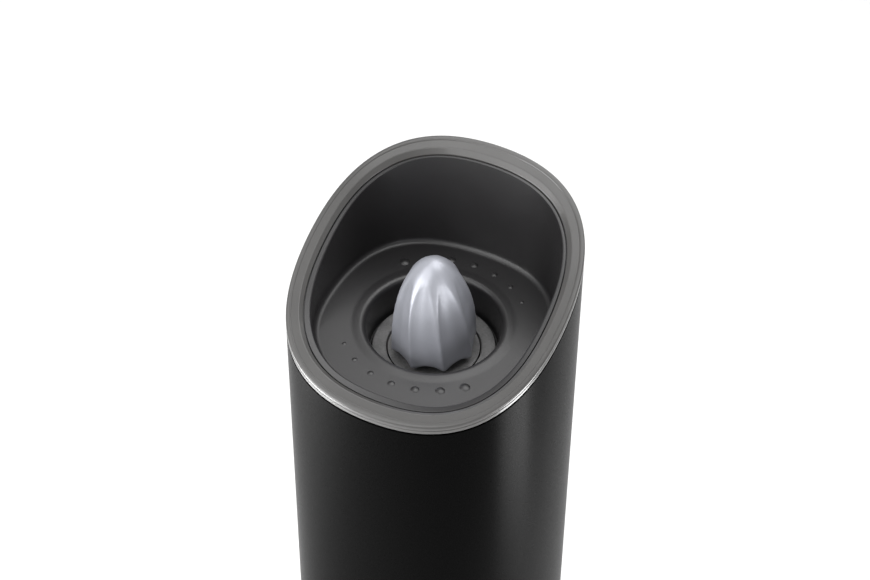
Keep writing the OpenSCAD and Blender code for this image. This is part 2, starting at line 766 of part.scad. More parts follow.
module planet_carrier()
    color([0.5, 0.5, 0.5])
        difference() {
            disc(carrier_r, carrier_z, carrier_z + carrier_t);
            disc(out_r, carrier_z - 1, carrier_z + carrier_t + 1);
            around(planet_count, gear_c) disc(planet_pin_r, carrier_z - 1, carrier_z + carrier_t + 1);
        }

module planet_pins()
    color([0.72, 0.72, 0.72])
        around(planet_count, gear_c) disc(planet_pin_r, gear_z - 0.3, carrier_z + carrier_t);

module planet_gear(i)
    color([0.85, 0.84, 0.8])
        rotate([0, 0, i * 360 / planet_count]) translate([gear_c, 0, 0]) rotate([0, 0, 180 / planet_teeth])
            gear(planet_teeth, gear_z, gear_z + gear_t, planet_pin_r + run_fit);

// ---------- Base: motor ----------

module motor_plate()
    color([0.3, 0.31, 0.32])
        difference() {
            disc(gearbox_r, plate_z, gearbox_foot_z);
            disc(boss_hole_r, plate_z - 1, gearbox_foot_z + 1);
            around(3, cover_screw_circle_r) disc(cover_screw_r, cover_screw_foot_z, gearbox_foot_z + 1);
            for (sx = [-1, 1]) translate([sx * motor_screw_x, 0, 0]) {
                disc(motor_screw_r, plate_z - 1, gearbox_foot_z + 1);
                disc(motor_screw_r * 1.9, gearbox_foot_z - 1.3, gearbox_foot_z + 1);
            }
        }

module motor_screws()
    color([0.72, 0.72, 0.7])
        for (sx = [-1, 1]) translate([sx * motor_screw_x, 0, 0]) {
            disc(motor_screw_r, plate_z - can_t, gearbox_foot_z - 0.2);
            disc(motor_screw_r * 1.8, gearbox_foot_z - 1.3, gearbox_foot_z - 0.2);
        }

module motor_can()
    color([0.68, 0.68, 0.68])
        difference() {
            disc(motor_r, motor_foot_z, plate_z);
            disc(motor_r - can_t, motor_foot_z - 1, plate_z - can_t);
            disc(motor_bush_r, plate_z - 5, plate_z + 1);
            for (sx = [-1, 1])
                translate([sx * motor_screw_x, 0, 0]) disc(motor_screw_r, plate_z - 3, plate_z + 1);
        }

module motor_magnets()
    color([0.2, 0.2, 0.21])
        difference() {
            ring(motor_r - can_t, motor_r - can_t - magnet_t,
                 motor_foot_z + bell_t + 1, plate_z - can_t - 2);
            for (sx = [-1, 1]) translate([sx * motor_r, 0, motor_foot_z + motor_len / 2])
                cube([motor_r, motor_r * 0.7, motor_len + 2], center = true);
        }

module motor_armature()
    color([0.6, 0.36, 0.2])
        difference() {
            union() {
                disc(armature_r, motor_foot_z + bell_t + 2.5, plate_z - can_t - 3.5);
                disc(motor_shaft_r + 2, motor_foot_z + bell_t + 0.5, motor_foot_z + bell_t + 3);
            }
            disc(motor_shaft_r, motor_foot_z, plate_z);
            around(5, armature_r) disc(1.4, motor_foot_z + bell_t + 3.5, plate_z);
        }

module motor_shaft()
    color([0.72, 0.72, 0.72]) disc(motor_shaft_r, motor_foot_z + 1, gear_z + gear_t);

module motor_pinion()
    color([0.78, 0.66, 0.4]) gear(sun_teeth, gear_z, gear_z + gear_t, motor_shaft_r);

module motor_bushes()
    color([0.72, 0.55, 0.3]) {
        ring(motor_bush_r, motor_shaft_r + run_fit, plate_z - can_t - 1, gearbox_foot_z - 0.2);
        ring(motor_bush_r, motor_shaft_r + run_fit, motor_foot_z + 0.6, motor_foot_z + bell_t);
    }

module motor_end_bell()
    color([0.12, 0.12, 0.12])
        difference() {
            disc(motor_r - can_t, motor_foot_z, motor_foot_z + bell_t);
            disc(motor_bush_r, motor_foot_z + 0.6, motor_foot_z + bell_t + 1);
            disc(motor_shaft_r + 0.2, motor_foot_z - 1, motor_foot_z + 1);
            for (sy = [-1, 1])
                translate([0, sy * motor_lead_y, 0]) disc(lead_r, motor_foot_z - 1, motor_foot_z + 1.5);
        }

module motor_leads()
    color([0.6, 0.08, 0.06])
        for (sy = [-1, 1]) translate([0, sy * motor_lead_y, 0]) disc(lead_r, usb_z, motor_foot_z + 1.5);

// ---------- Base: battery and board ----------

module battery_cradle()
    color([0.14, 0.14, 0.14]) {
        wall = 1.4;
        side_w = 10;
        difference() {
            union() {
                body_prism(cradle_inset, cradle_z, cradle_z + cradle_t);
                for (turn = [0, 180]) rotate([0, 0, turn])
                    translate([-side_w / 2, motor_r + 0.4, cradle_z])
                        cube([side_w, wall, motor_foot_z + 10 - cradle_z]);
                intersection() {
                    for (sx = [-1, 1]) translate([sx * cell_x, 0, 0])
                        ring(cell_r + 0.2 + wall, cell_r + 0.2, cradle_z, cradle_z + 14);
                    body_prism(cradle_inset - 1, cradle_z, cradle_z + 40);
                }
            }
            four_corners(post_x, post_y) disc(board_hole_r, cradle_z - 1, cradle_z + cradle_t + 1);
            for (sy = [-1, 1])
                translate([0, sy * motor_lead_y, 0]) disc(lead_r + snug, cradle_z - 1, cradle_z + 5);
            translate([0, tilt_y, 0]) disc(tilt_r + snug, cradle_z - 1, cradle_z + cradle_t + 1);
            for (sx = [-1, 1]) {
                translate([sx * lead_x, lead_y, 0]) disc(lead_r + snug, cradle_z - 1, cradle_z + 5);
                translate([sx * cell_x, 0, 0]) disc(lead_r + snug, cradle_z - 1, cradle_z + 5);
            }
        }
    }

module battery_cells()
    color([0.15, 0.35, 0.55])
        for (sx = [-1, 1]) translate([sx * cell_x, 0, 0]) {
            disc(cell_r, cell_z, cell_z + cell_len - 1);
            disc(2.6, cell_z + cell_len - 1.01, cell_z + cell_len);
        }

module cell_contacts()
    color([0.8, 0.76, 0.6]) {
        pad = 3;                    // half the width of a contact's pad
        tongue = 0.8;
        for (sx = [-1, 1]) {
            translate([sx * cell_x - pad, -pad, cell_z - contact_t]) cube([2 * pad, 2 * pad, contact_t]);
            translate([sx * cell_x, 0, 0]) disc(lead_r, usb_z, cell_z);
            translate([sx * cell_x - pad, -pad, cell_z + cell_len]) cube([2 * pad, 2 * pad, contact_t]);
            translate([sx * lead_x - tongue, 0, cell_z + cell_len])
                cube([2 * tongue, lead_y + tongue, contact_t]);
        }
    }

module cell_caps()
    color([0.14, 0.14, 0.14])
        for (sx = [-1, 1]) translate([sx * cell_x, 0, 0])
            difference() {
                disc(cell_r + 0.4, cell_z + cell_len - 3, cell_z + cell_len + contact_t + cap_t);
                disc(cell_r + 0.02, cell_z + cell_len - 4, cell_z + cell_len + contact_t);
                translate([sx * (lead_x - cell_x) - 1, 0, cell_z + cell_len - 4])
                    cube([2, cell_r + 1, 4 + contact_t]);
            }

module battery_leads()
    color([0.6, 0.08, 0.06])
        for (sx = [-1, 1]) translate([sx * lead_x, lead_y, 0]) disc(lead_r, usb_z, cell_z + cell_len);

module tilt_can()
    color([0.72, 0.72, 0.7])
        translate([0, tilt_y, 0]) difference() {
            disc(tilt_r, usb_z, usb_z + tilt_h);
            disc(tilt_r - tilt_wall, usb_z + tilt_wall, usb_z + tilt_h - tilt_wall);
        }

module tilt_ball()
    color([0.8, 0.8, 0.8])
        translate([0, tilt_y, usb_z + tilt_wall + 0.02 + tilt_ball_r]) sphere(r = tilt_ball_r);

module control_board()
    color([0.05, 0.3, 0.16])
        difference() {
            union() {
                intersection() {
                    disc(board_r, board_z, board_z + board_t);
                    body_prism(shell_wall + 3, board_z, board_z + board_t);
                }
                four_corners(post_x, post_y) disc(post_r, board_z, board_z + board_t);
                translate([-10, 0, board_z]) cube([20, usb_y - 2.4, board_t]);
            }
            four_corners(post_x, post_y) disc(board_hole_r, board_z - 1, board_z + board_t + 1);
        }

module board_chips()
    color([0.1, 0.1, 0.1]) {
        chips = [[-8, -6, 7, 7, 1.2], [5, -7, 5, 6, 1.4], [6, 6, 4, 4, 1.1], [-9, 8, 5, 3, 1.6]];
        for (c = chips) translate([c[0] - c[2] / 2, c[1] - c[3] / 2, usb_z]) cube([c[2], c[3], c[4]]);
    }

module board_spacers()
    color([0.85, 0.85, 0.83])
        four_corners(post_x, post_y) ring(post_r, board_hole_r, board_z + board_t, cradle_z);

module board_screws()
    color([0.72, 0.72, 0.7])
        four_corners(post_x, post_y) {
            disc(board_screw_r, bottom_z + 2, cradle_z + cradle_t);
            disc(1.7, cradle_z + cradle_t, cradle_z + cradle_t + 0.9);
        }

module usb_socket()
    color([0.75, 0.75, 0.75])
        difference() {
            translate([-usb_w / 2, usb_y - usb_depth, usb_z]) cube([usb_w, usb_depth, usb_h]);
            translate([usb_wall - usb_w / 2, usb_y - usb_depth + 1.4, usb_z + usb_wall])
                cube([usb_w - 2 * usb_wall, usb_depth, usb_h - 2 * usb_wall]);
        }

module charge_light()
    color([0.9, 0.95, 0.9]) translate([light_x, 0, usb_z + usb_h / 2]) rotate([-90, 0, 0])
        disc(light_r, body_w / 2 - shell_wall - 2.5, body_w / 2 - 0.2);

// ---------- Assembly ----------

head_sleeve();
rim_ring();
mouth_insert();
adjuster_knob();
knob_washer();
outer_burr();
inner_burr();
burr_spring();
spring_seat();
burr_cage();
cage_screws();
shaft_bush();
shaft_clip();
drive_shaft();
coupling_socket();
coupling_pin();
spice_chamber();
chamber_gasket();
base_shell();
base_deck();
dust_seal();
spigot_seal();
output_shaft();
planet_carrier();
planet_pins();
planet_gear(0);  // planet_gear_1
planet_gear(1);  // planet_gear_2
planet_gear(2);  // planet_gear_3
gearbox_housing();
gearbox_cover();
cover_bush();
cover_screws();
gearbox_screws();
motor_plate();
motor_screws();
motor_can();
motor_magnets();
motor_armature();
motor_shaft();
motor_pinion();
motor_bushes();
motor_end_bell();
motor_leads();
battery_cradle();
battery_cells();
cell_contacts();
cell_caps();
battery_leads();
control_board();
board_chips();
tilt_can();
tilt_ball();
board_spacers();
board_screws();
usb_socket();
charge_light();
bottom_plate();
bottom_screws();
foot_ring();
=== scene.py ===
"""Looks of an electric tilt mill for pepper or salt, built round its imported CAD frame.

The CAD model holds every part's place and motion. This script gives the parts that show a finer
mesh, with their real edge radii, and gives every part a procedural material.
"""

import json
import logging
import math
from collections.abc import Callable
from dataclasses import dataclass, field
from enum import Enum

import bmesh
import bpy
from mathutils import Matrix, Vector


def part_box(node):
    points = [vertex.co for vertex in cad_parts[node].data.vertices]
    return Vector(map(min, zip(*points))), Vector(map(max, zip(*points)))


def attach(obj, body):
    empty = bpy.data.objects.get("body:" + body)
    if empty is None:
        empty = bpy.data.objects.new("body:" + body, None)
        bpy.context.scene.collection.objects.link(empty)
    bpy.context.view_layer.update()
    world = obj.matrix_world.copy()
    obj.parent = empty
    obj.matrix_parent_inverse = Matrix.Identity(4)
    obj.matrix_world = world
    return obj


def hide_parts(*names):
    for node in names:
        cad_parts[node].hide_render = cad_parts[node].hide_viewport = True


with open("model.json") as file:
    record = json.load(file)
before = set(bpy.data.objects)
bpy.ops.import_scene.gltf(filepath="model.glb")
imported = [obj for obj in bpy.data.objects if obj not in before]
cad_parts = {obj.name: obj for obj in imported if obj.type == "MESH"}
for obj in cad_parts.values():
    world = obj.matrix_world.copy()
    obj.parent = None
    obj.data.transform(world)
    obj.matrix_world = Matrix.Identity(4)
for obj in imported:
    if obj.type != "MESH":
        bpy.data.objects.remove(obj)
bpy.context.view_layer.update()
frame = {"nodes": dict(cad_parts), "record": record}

MM = 0.001
TURN = 2 * math.pi
SRGB_KNEE, SRGB_SLOPE, SRGB_OFFSET, SRGB_POWER = 0.04045, 12.92, 0.055, 2.4
# The limits inside rounded(): how much of a side an arc may take, and what counts as straight or sharp.
SIDE_SHARE, STRAIGHT, SHARP, STEP = 0.46, 1e-4, 1e-7, 1e-6

log = logging.getLogger("mill")

Point2 = tuple[float, float]
Profile = list[Point2]


# ---------------------------------------------------------------- colour and nodes


def linear(colour: str) -> tuple[float, float, float, float]:
    """Turns an sRGB hex colour into the linear colour that shaders take.

    Args:
        colour: six hex digits after a hash sign.

    Returns:
        Linear red, green and blue, with an alpha of 1.
    """
    channels = [int(colour[i : i + 2], 16) / 255 for i in (1, 3, 5)]
    values = [
        c / SRGB_SLOPE if c <= SRGB_KNEE else ((c + SRGB_OFFSET) / (1 + SRGB_OFFSET)) ** SRGB_POWER
        for c in channels
    ]
    return (values[0], values[1], values[2], 1.0)


def shade(colour: str, factor: float) -> str:
    """Makes a hex colour lighter or darker.

    Args:
        colour: the sRGB hex colour.
        factor: what each channel is multiplied by.

    Returns:
        The new sRGB hex colour.
    """
    channels = [min(255, round(int(colour[i : i + 2], 16) * factor)) for i in (1, 3, 5)]
    return "#" + "".join(f"{c:02x}" for c in channels)


def add_node(
    tree: bpy.types.NodeTree,
    kind: str,
    settings: dict[str, object] | None = None,
    links: dict[str, bpy.types.NodeSocket] | None = None,
) -> bpy.types.Node:
    """Adds one node, sets it up and links it.

    Args:
        tree: the node tree that it joins.
        kind: Blender's type name, without its "ShaderNode" prefix.
        settings: values by name, for an attribute of the node or one of its inputs.
        links: the sockets that feed the node's inputs, by input name.

    Returns:
        The new node.
    """
    node = tree.nodes.new("ShaderNode" + kind)
    for name, value in (settings or {}).items():
        if hasattr(node, name):
            setattr(node, name, value)
        else:
            node.inputs[name].default_value = value
    for name, socket in (links or {}).items():
        target = node.inputs[int(name)] if name.isdigit() else node.inputs[name]
        tree.links.new(socket, target)
    return node


@dataclass(frozen=True)
class Finish:
    """What every finish shares: a principled shader, and sizes of its patterns in millimetres."""

    name: str
    colour: str
    roughness: float = 0.5

    def paler(self, factor: float) -> str:
        """Gives the finish's own colour, made paler, or darker when the factor is under 1."""
        return shade(self.colour, factor)

    def start(
        self,
    ) -> tuple[bpy.types.Material, bpy.types.NodeTree, bpy.types.Node, bpy.types.NodeSocket]:
        """Makes an empty material with its shader.

        Returns:
            The material, its node tree, its principled shader and its object coordinates.
        """
        material = bpy.data.materials.new(self.name)
        material.use_nodes = True
        tree = material.node_tree
        tree.nodes.clear()
        shader = add_node(
            tree, "BsdfPrincipled", {"Base Color": linear(self.colour), "Roughness": self.roughness}
        )
        add_node(tree, "OutputMaterial", links={"Surface": shader.outputs["BSDF"]})
        place = add_node(tree, "TexCoord").outputs["Object"]
        return material, tree, shader, place

    def grain(
        self, tree: bpy.types.NodeTree, place: bpy.types.NodeSocket, size_mm: float, detail: float = 3.0
    ) -> bpy.types.NodeSocket:
        """Adds noise whose blobs have a real size.

        Args:
            tree: the material's node tree.
            place: the coordinates, in metres.
            size_mm: the size of one blob.
            detail: how many finer octaves it has.

        Returns:
            The noise's value, about 0.5 on average.
        """
        settings = {"Scale": 1 / (size_mm * MM), "Detail": detail, "Roughness": 0.55}
        return add_node(tree, "TexNoise", settings, {"Vector": place}).outputs["Fac"]

    def vary(
        self,
        tree: bpy.types.NodeTree,
        fac: bpy.types.NodeSocket,
        low: float,
        high: float,
        span: Point2 = (0.3, 0.7),
    ) -> bpy.types.NodeSocket:
        """Maps a noise value to a range.

        Args:
            tree: the material's node tree.
            fac: the noise's value.
            low: the result at the low end of span.
            high: the result at the high end of span.
            span: the part of the noise's range that is used.

        Returns:
            The mapped value.
        """
        settings = {"From Min": span[0], "From Max": span[1], "To Min": low, "To Max": high}
        return add_node(tree, "MapRange", settings, {"Value": fac}).outputs["Result"]

    def tint(
        self,
        tree: bpy.types.NodeTree,
        fac: bpy.types.NodeSocket,
        low: str,
        high: str,
        span: Point2 = (0.3, 0.7),
    ) -> bpy.types.NodeSocket:
        """Maps a noise value to a blend of two colours.

        Args:
            tree: the material's node tree.
            fac: the noise's value.
            low: the hex colour at the low end of span.
            high: the hex colour at the high end of span.
            span: the part of the noise's range that is used.

        Returns:
            The colour.
        """
        ramp = add_node(tree, "ValToRGB", links={"Fac": fac})
        ends = ramp.color_ramp.elements
        ends[0].position, ends[1].position = span
        ends[0].color, ends[1].color = linear(low), linear(high)
        return ramp.outputs["Color"]

    def relief(
        self,
        tree: bpy.types.NodeTree,
        height: bpy.types.NodeSocket,
        depth_mm: float,
        below: bpy.types.NodeSocket | None = None,
    ) -> bpy.types.NodeSocket:
        """Adds a bump of a real depth.

        Args:
            tree: the material's node tree.
            height: the height, from 0 to 1.
            depth_mm: how deep a height of 1 is.
            below: the normal of a coarser bump under this one.

        Returns:
            The new normal.
        """
        links = {"Height": height}
        if below is not None:
            links["Normal"] = below
        bump = add_node(tree, "Bump", {"Distance": depth_mm * MM, "Strength": 1.0}, links)
        return bump.outputs["Normal"]


@dataclass(frozen=True)
class MouldedPlastic(Finish):
    """Plastic from a spark-eroded mould: a fine dull grain, with a slow change of tone."""

    grain_mm: float = 0.35
    grain_depth_mm: float = 0.006
    tone: float = 0.08
    tone_mm: float = 22.0
    specular: float = 0.5
    gloss_spread: float = 0.05
    coat: float = 0.0
    coat_roughness: float = 0.1

    def material(self) -> bpy.types.Material:
        """Builds the plastic.

        Returns:
            The material.
        """
        material, tree, shader, place = self.start()
        shader.inputs["Specular IOR Level"].default_value = self.specular
        shader.inputs["Coat Weight"].default_value = self.coat
        shader.inputs["Coat Roughness"].default_value = self.coat_roughness
        slow = self.grain(tree, place, self.tone_mm, 2.0)
        fine = self.grain(tree, place, self.grain_mm, 4.0)
        colour = self.tint(tree, slow, self.paler(1 - self.tone), self.paler(1 + self.tone))
        glossy, dim = self.roughness - self.gloss_spread, self.roughness + self.gloss_spread
        dull = self.vary(tree, fine, glossy, dim)
        tree.links.new(colour, shader.inputs["Base Color"])
        tree.links.new(dull, shader.inputs["Roughness"])
        tree.links.new(self.relief(tree, fine, self.grain_depth_mm), shader.inputs["Normal"])
        return material


@dataclass(frozen=True)
class PlatedPlastic(Finish):
    """Satin plating over moulded ABS: milky grey, broad soft highlights and a faint waviness."""

    ripple_mm: float = 6.0
    ripple_depth_mm: float = 0.006
    haze_mm: float = 0.5
    tones: Point2 = (0.96, 1.03)
    dulls: Point2 = (-0.03, 0.05)
    metal: float = 0.4
    coat: float = 0.1
    coat_roughness: float = 0.14

    def material(self) -> bpy.types.Material:
        """Builds the plating.

        Returns:
            The material.
        """
        material, tree, shader, place = self.start()
        shader.inputs["Metallic"].default_value = self.metal
        shader.inputs["Coat Weight"].default_value = self.coat
        shader.inputs["Coat Roughness"].default_value = self.coat_roughness
        slow = self.grain(tree, place, self.ripple_mm, 1.0)
        haze = self.grain(tree, place, self.haze_mm, 4.0)
        colour = self.tint(tree, slow, *map(self.paler, self.tones))
        dull = self.vary(tree, haze, *(self.roughness + more for more in self.dulls))
        tree.links.new(colour, shader.inputs["Base Color"])
        tree.links.new(dull, shader.inputs["Roughness"])
        tree.links.new(self.relief(tree, slow, self.ripple_depth_mm), shader.inputs["Normal"])
        return material


@dataclass(frozen=True)
class TurnedMetal(Finish):
    """Metal cut on a lathe about the upright axis: fine rings, brighter and duller in turn."""

    ring_mm: float = 0.25
    ring_depth_mm: float = 0.004
    stain_mm: float = 5.0
    tones: Point2 = (0.88, 1.05)
    dulls: Point2 = (-0.08, 0.1)

    def material(self) -> bpy.types.Material:
        """Builds the metal.

        Returns:
            The material.
        """
        material, tree, shader, place = self.start()
        shader.inputs["Metallic"].default_value = 1.0
        parts = add_node(tree, "SeparateXYZ", links={"Vector": place})
        flat = add_node(tree, "CombineXYZ", links={"X": parts.outputs["X"], "Y": parts.outputs["Y"]})
        radius = add_node(tree, "VectorMath", {"operation": "LENGTH"}, {"0": flat.outputs["Vector"]})
        cut = add_node(
            tree, "CombineXYZ", links={"X": radius.outputs["Value"], "Z": parts.outputs["Z"]}
        ).outputs["Vector"]
        rings = self.grain(tree, cut, self.ring_mm, 2.0)
        stain = self.grain(tree, place, self.stain_mm)
        colour = self.tint(tree, stain, *map(self.paler, self.tones))
        dull = self.vary(tree, rings, *(self.roughness + more for more in self.dulls))
        tree.links.new(colour, shader.inputs["Base Color"])
        tree.links.new(dull, shader.inputs["Roughness"])
        tree.links.new(self.relief(tree, rings, self.ring_depth_mm), shader.inputs["Normal"])
        return material


@dataclass(frozen=True)
class FiredCeramic(Finish):
    """Pressed and fired powder: matte, with grey specks and shallow pits from the pressing."""

    cloud_mm: float = 4.0
    speck_mm: float = 0.45
    speck_share: float = 0.45
    pit_mm: float = 0.8
    pit_depth_mm: float = 0.03
    tones: Point2 = (0.84, 1.12)
    contrast: Point2 = (0.38, 0.62)
    dulls: Point2 = (0.5, 0.66)

    def material(self) -> bpy.types.Material:
        """Builds the ceramic.

        Returns:
            The material.
        """
        material, tree, shader, place = self.start()
        cloud = self.grain(tree, place, self.cloud_mm)
        speck = self.grain(tree, place, self.speck_mm, 5.0)
        mix = add_node(tree, "Mix", {"Factor": self.speck_share}, {"2": cloud, "3": speck})
        colour = self.tint(tree, mix.outputs["Result"], *map(self.paler, self.tones), self.contrast)
        pits = self.grain(tree, place, self.pit_mm)
        tree.links.new(colour, shader.inputs["Base Color"])
        tree.links.new(self.vary(tree, speck, *self.dulls), shader.inputs["Roughness"])
        tree.links.new(self.relief(tree, pits, self.pit_depth_mm), shader.inputs["Normal"])
        return material


@dataclass(frozen=True)
class SiliconeRubber(Finish):
    """Moulded silicone rubber: deep matte, with a bloom of dust that shows on flat faces."""

    bloom_mm: float = 3.0
    bloom_tone: float = 1.5
    bloom_roughness: float = 0.95
    skin_mm: float = 0.3
    skin_depth_mm: float = 0.012
    specular: float = 0.3
    sheen: float = 0.15

    def material(self) -> bpy.types.Material:
        """Builds the rubber.

        Returns:
            The material.
        """
        material, tree, shader, place = self.start()
        shader.inputs["Specular IOR Level"].default_value = self.specular
        shader.inputs["Sheen Weight"].default_value = self.sheen
        bloom = self.grain(tree, place, self.bloom_mm, 5.0)
        skin = self.grain(tree, place, self.skin_mm)
        colour = self.tint(tree, bloom, self.colour, self.paler(self.bloom_tone))
        dull = self.vary(tree, bloom, self.roughness, self.bloom_roughness)
        tree.links.new(colour, shader.inputs["Base Color"])
        tree.links.new(dull, shader.inputs["Roughness"])
        tree.links.new(self.relief(tree, skin, self.skin_depth_mm), shader.inputs["Normal"])
        return material


@dataclass(frozen=True)
class SmokedAcrylic(Finish):
    """Clear moulded acrylic with a grey tint: smooth, with faint flow lines from the moulding."""

    clearness: float = 0.85
    ior: float = 1.49
    flow_mm: float = 9.0
    flow_depth_mm: float = 0.02
    haze: float = 0.08

    def material(self) -> bpy.types.Material:
        """Builds the acrylic.

        Returns:
            The material.
        """
        material, tree, shader, place = self.start()
        shader.inputs["IOR"].default_value = self.ior
        shader.inputs["Transmission Weight"].default_value = self.clearness
        flow = self.grain(tree, place, self.flow_mm, 2.0)
        dull = self.vary(tree, flow, self.roughness, self.roughness + self.haze)
        tree.links.new(dull, shader.inputs["Roughness"])
        tree.links.new(self.relief(tree, flow, self.flow_depth_mm), shader.inputs["Normal"])
        return material


@dataclass(frozen=True)
class WoundCopper(Finish):
    """Lacquered copper wire wound in turns: bands as wide as the wire, with painted shade darkening the
    gaps between them.
    """

    wire_mm: float = 0.35
    wire_depth_mm: float = 0.08
    unevenness: float = 0.6
    metal: float = 0.85
    # The low tone is painted shade for the gaps between turns.
    tones: Point2 = (0.45, 1.1)
    gap: Point2 = (0.1, 0.6)

    def material(self) -> bpy.types.Material:
        """Builds the winding.

        Returns:
            The material.
        """
        material, tree, shader, place = self.start()
        shader.inputs["Metallic"].default_value = self.metal
        # The wave node repeats every TURN / 20 of its coordinate at a scale of 1.
        scale = TURN / (20 * self.wire_mm * MM)
        settings = {"bands_direction": "Z", "Scale": scale, "Distortion": self.unevenness}
        turns = add_node(tree, "TexWave", settings, {"Vector": place}).outputs["Fac"]
        # The gaps between turns get the low tone: painted shade in the crevices.
        colour = self.tint(tree, turns, *map(self.paler, self.tones), self.gap)
        tree.links.new(colour, shader.inputs["Base Color"])
        tree.links.new(self.relief(tree, turns, self.wire_depth_mm), shader.inputs["Normal"])
        return material


@dataclass(frozen=True)
class CircuitBoard(Finish):
    """Solder mask over copper tracks: glossy, with lighter lines where the tracks run below."""

    track_mm: float = 1.6
    track_depth_mm: float = 0.05
    track_tone: float = 1.35
    track_edge: Point2 = (0.06, 0.12)

    def material(self) -> bpy.types.Material:
        """Builds the board.

        Returns:
            The material.
        """
        material, tree, shader, place = self.start()
        settings = {"feature": "DISTANCE_TO_EDGE", "Scale": 1 / (self.track_mm * MM)}
        cells = add_node(tree, "TexVoronoi", settings, {"Vector": place}).outputs["Distance"]
        colour = self.tint(tree, cells, self.paler(self.track_tone), self.colour, self.track_edge)
        tree.links.new(colour, shader.inputs["Base Color"])
        tree.links.new(self.relief(tree, cells, self.track_depth_mm), shader.inputs["Normal"])
        return material


# ---------------------------------------------------------------- shapes


@dataclass(frozen=True)
class Corner:
    """One corner of a profile: its place, in metres, and the radius that rounds it."""

    out: float
    up: float
    radius: float = 0.0


def rounded(corners: list[Corner], steps: int = 5, hold: float = 0.15 * MM) -> Profile:
    """Rounds the corners of a closed profile.

    Args:
        corners: the corners in order.
        steps: how many segments an arc has.
        hold: how far past each arc a point keeps the flat beside it flat.

    Returns:
        The points. Their number depends only on the number of corners.
    """
    points: Profile = []
    count = len(corners)
    for i, corner in enumerate(corners):
        here = Vector((corner.out, corner.up))
        before = Vector((corners[i - 1].out, corners[i - 1].up)) - here
        after = Vector((corners[(i + 1) % count].out, corners[(i + 1) % count].up)) - here
        half = before.angle(after) / 2
        room = SIDE_SHARE * min(before.length, after.length)
        reach = min(corner.radius / math.tan(half), room) if half < math.pi / 2 - STRAIGHT else 0.0
        spare = min(hold, room - reach) if room > reach else 0.0
        b, a = before.normalized(), after.normalized()
        points.append(tuple(here + b * (reach + spare)))
        radius = reach * math.tan(half)
        if radius < SHARP:
            points.extend(tuple(here + a * STEP * k) for k in range(steps + 1))
        else:
            centre = here + (b + a).normalized() * (radius / math.sin(half))
            first, last = here + b * reach - centre, here + a * reach - centre
            sweep = math.atan2(first.cross(last), first.dot(last))
            for k in range(steps + 1):
                turn = Matrix.Rotation(sweep * k / steps, 2)
                points.append(tuple(centre + turn @ first))
        points.append(tuple(here + a * (reach + spare)))
    return points


@dataclass(frozen=True)
class Section:
    """The body's section: a rounded square with its flats on the axes."""

    half_width: float
    corner_share: float = 0.028

    def radius(self, angle: float) -> float:
        """Gives the distance from the axis to the body's surface at an angle."""
        mean = self.half_width / (1 - self.corner_share)
        return mean * (1 - self.corner_share * math.cos(4 * angle))


@dataclass(frozen=True)
class RimPlane:
    """The slanted plane that the mouth's rim lies in, low at the front."""

    slope_deg: float
    on_axis: float

    def height(self, y: float) -> float:
        """Gives the plane's height at a place from front to rear."""
        return self.on_axis + math.tan(math.radians(self.slope_deg)) * y


class Body(Enum):
    """The CAD bodies that the new pieces ride on."""

    BASE = "base"
    HEAD = "head"
    KNOB = "knob"


def ring_mesh(name: str, rings: Callable[[float], list[Vector]], around: int) -> bpy.types.Object:
    """Builds a closed ring from its cross-sections.

    Args:
        name: the new object's name.
        rings: gives the closed cross-section at an angle, always with as many points.
        around: how many cross-sections there are.

    Returns:
        The object, with smooth shading.
    """
    columns = [rings(TURN * i / around) for i in range(around)]
    count = len(columns[0])
    points = [p for column in columns for p in column]
    faces = [
        (
            i * count + k,
            ((i + 1) % around) * count + k,
            ((i + 1) % around) * count + (k + 1) % count,
            i * count + (k + 1) % count,
        )
        for i in range(around)
        for k in range(count)
    ]
    return finished_mesh(name, points, faces)


def finished_mesh(
    name: str, points: list[Vector], faces: list[tuple[int, ...]], crease_deg: float = 50.0
) -> bpy.types.Object:
    """Makes an object from points and faces, with doubled points merged and its normals outward.

    Args:
        name: the new object's name.
        points: the points, in metres.
        faces: the faces, as indices into points.
        crease_deg: edges that bend more than this are shaded sharp.

    Returns:
        The object, linked to the scene.
    """
    mesh = bpy.data.meshes.new(name)
    mesh.from_pydata([tuple(p) for p in points], [], faces)
    shape = bmesh.new()
    shape.from_mesh(mesh)
    bmesh.ops.remove_doubles(shape, verts=shape.verts, dist=0.002 * MM)
    bmesh.ops.recalc_face_normals(shape, faces=shape.faces)
    shape.to_mesh(mesh)
    shape.free()
    mesh.shade_smooth()
    mesh.set_sharp_from_angle(angle=math.radians(crease_deg))
    made = bpy.data.objects.new(name, mesh)
    bpy.context.scene.collection.objects.link(made)
    return made


def install(
    piece: bpy.types.Object, material: bpy.types.Material, body: Body, slot: str, *nodes: str
) -> bpy.types.Object:
    """Gives a piece its material and its place in the mill.

    Args:
        piece: the new piece.
        material: its material.
        body: the CAD body that it rides on.
        slot: the record's material slot; not used.
        nodes: the CAD nodes that it stands for.

    Returns:
        The piece.
    """
    piece.data.materials.append(material)
    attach(piece, body.value)
    if nodes:
        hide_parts(*nodes)
    log.info("%s: %d faces, on %s", piece.name, len(piece.data.polygons), body.value)
    return piece


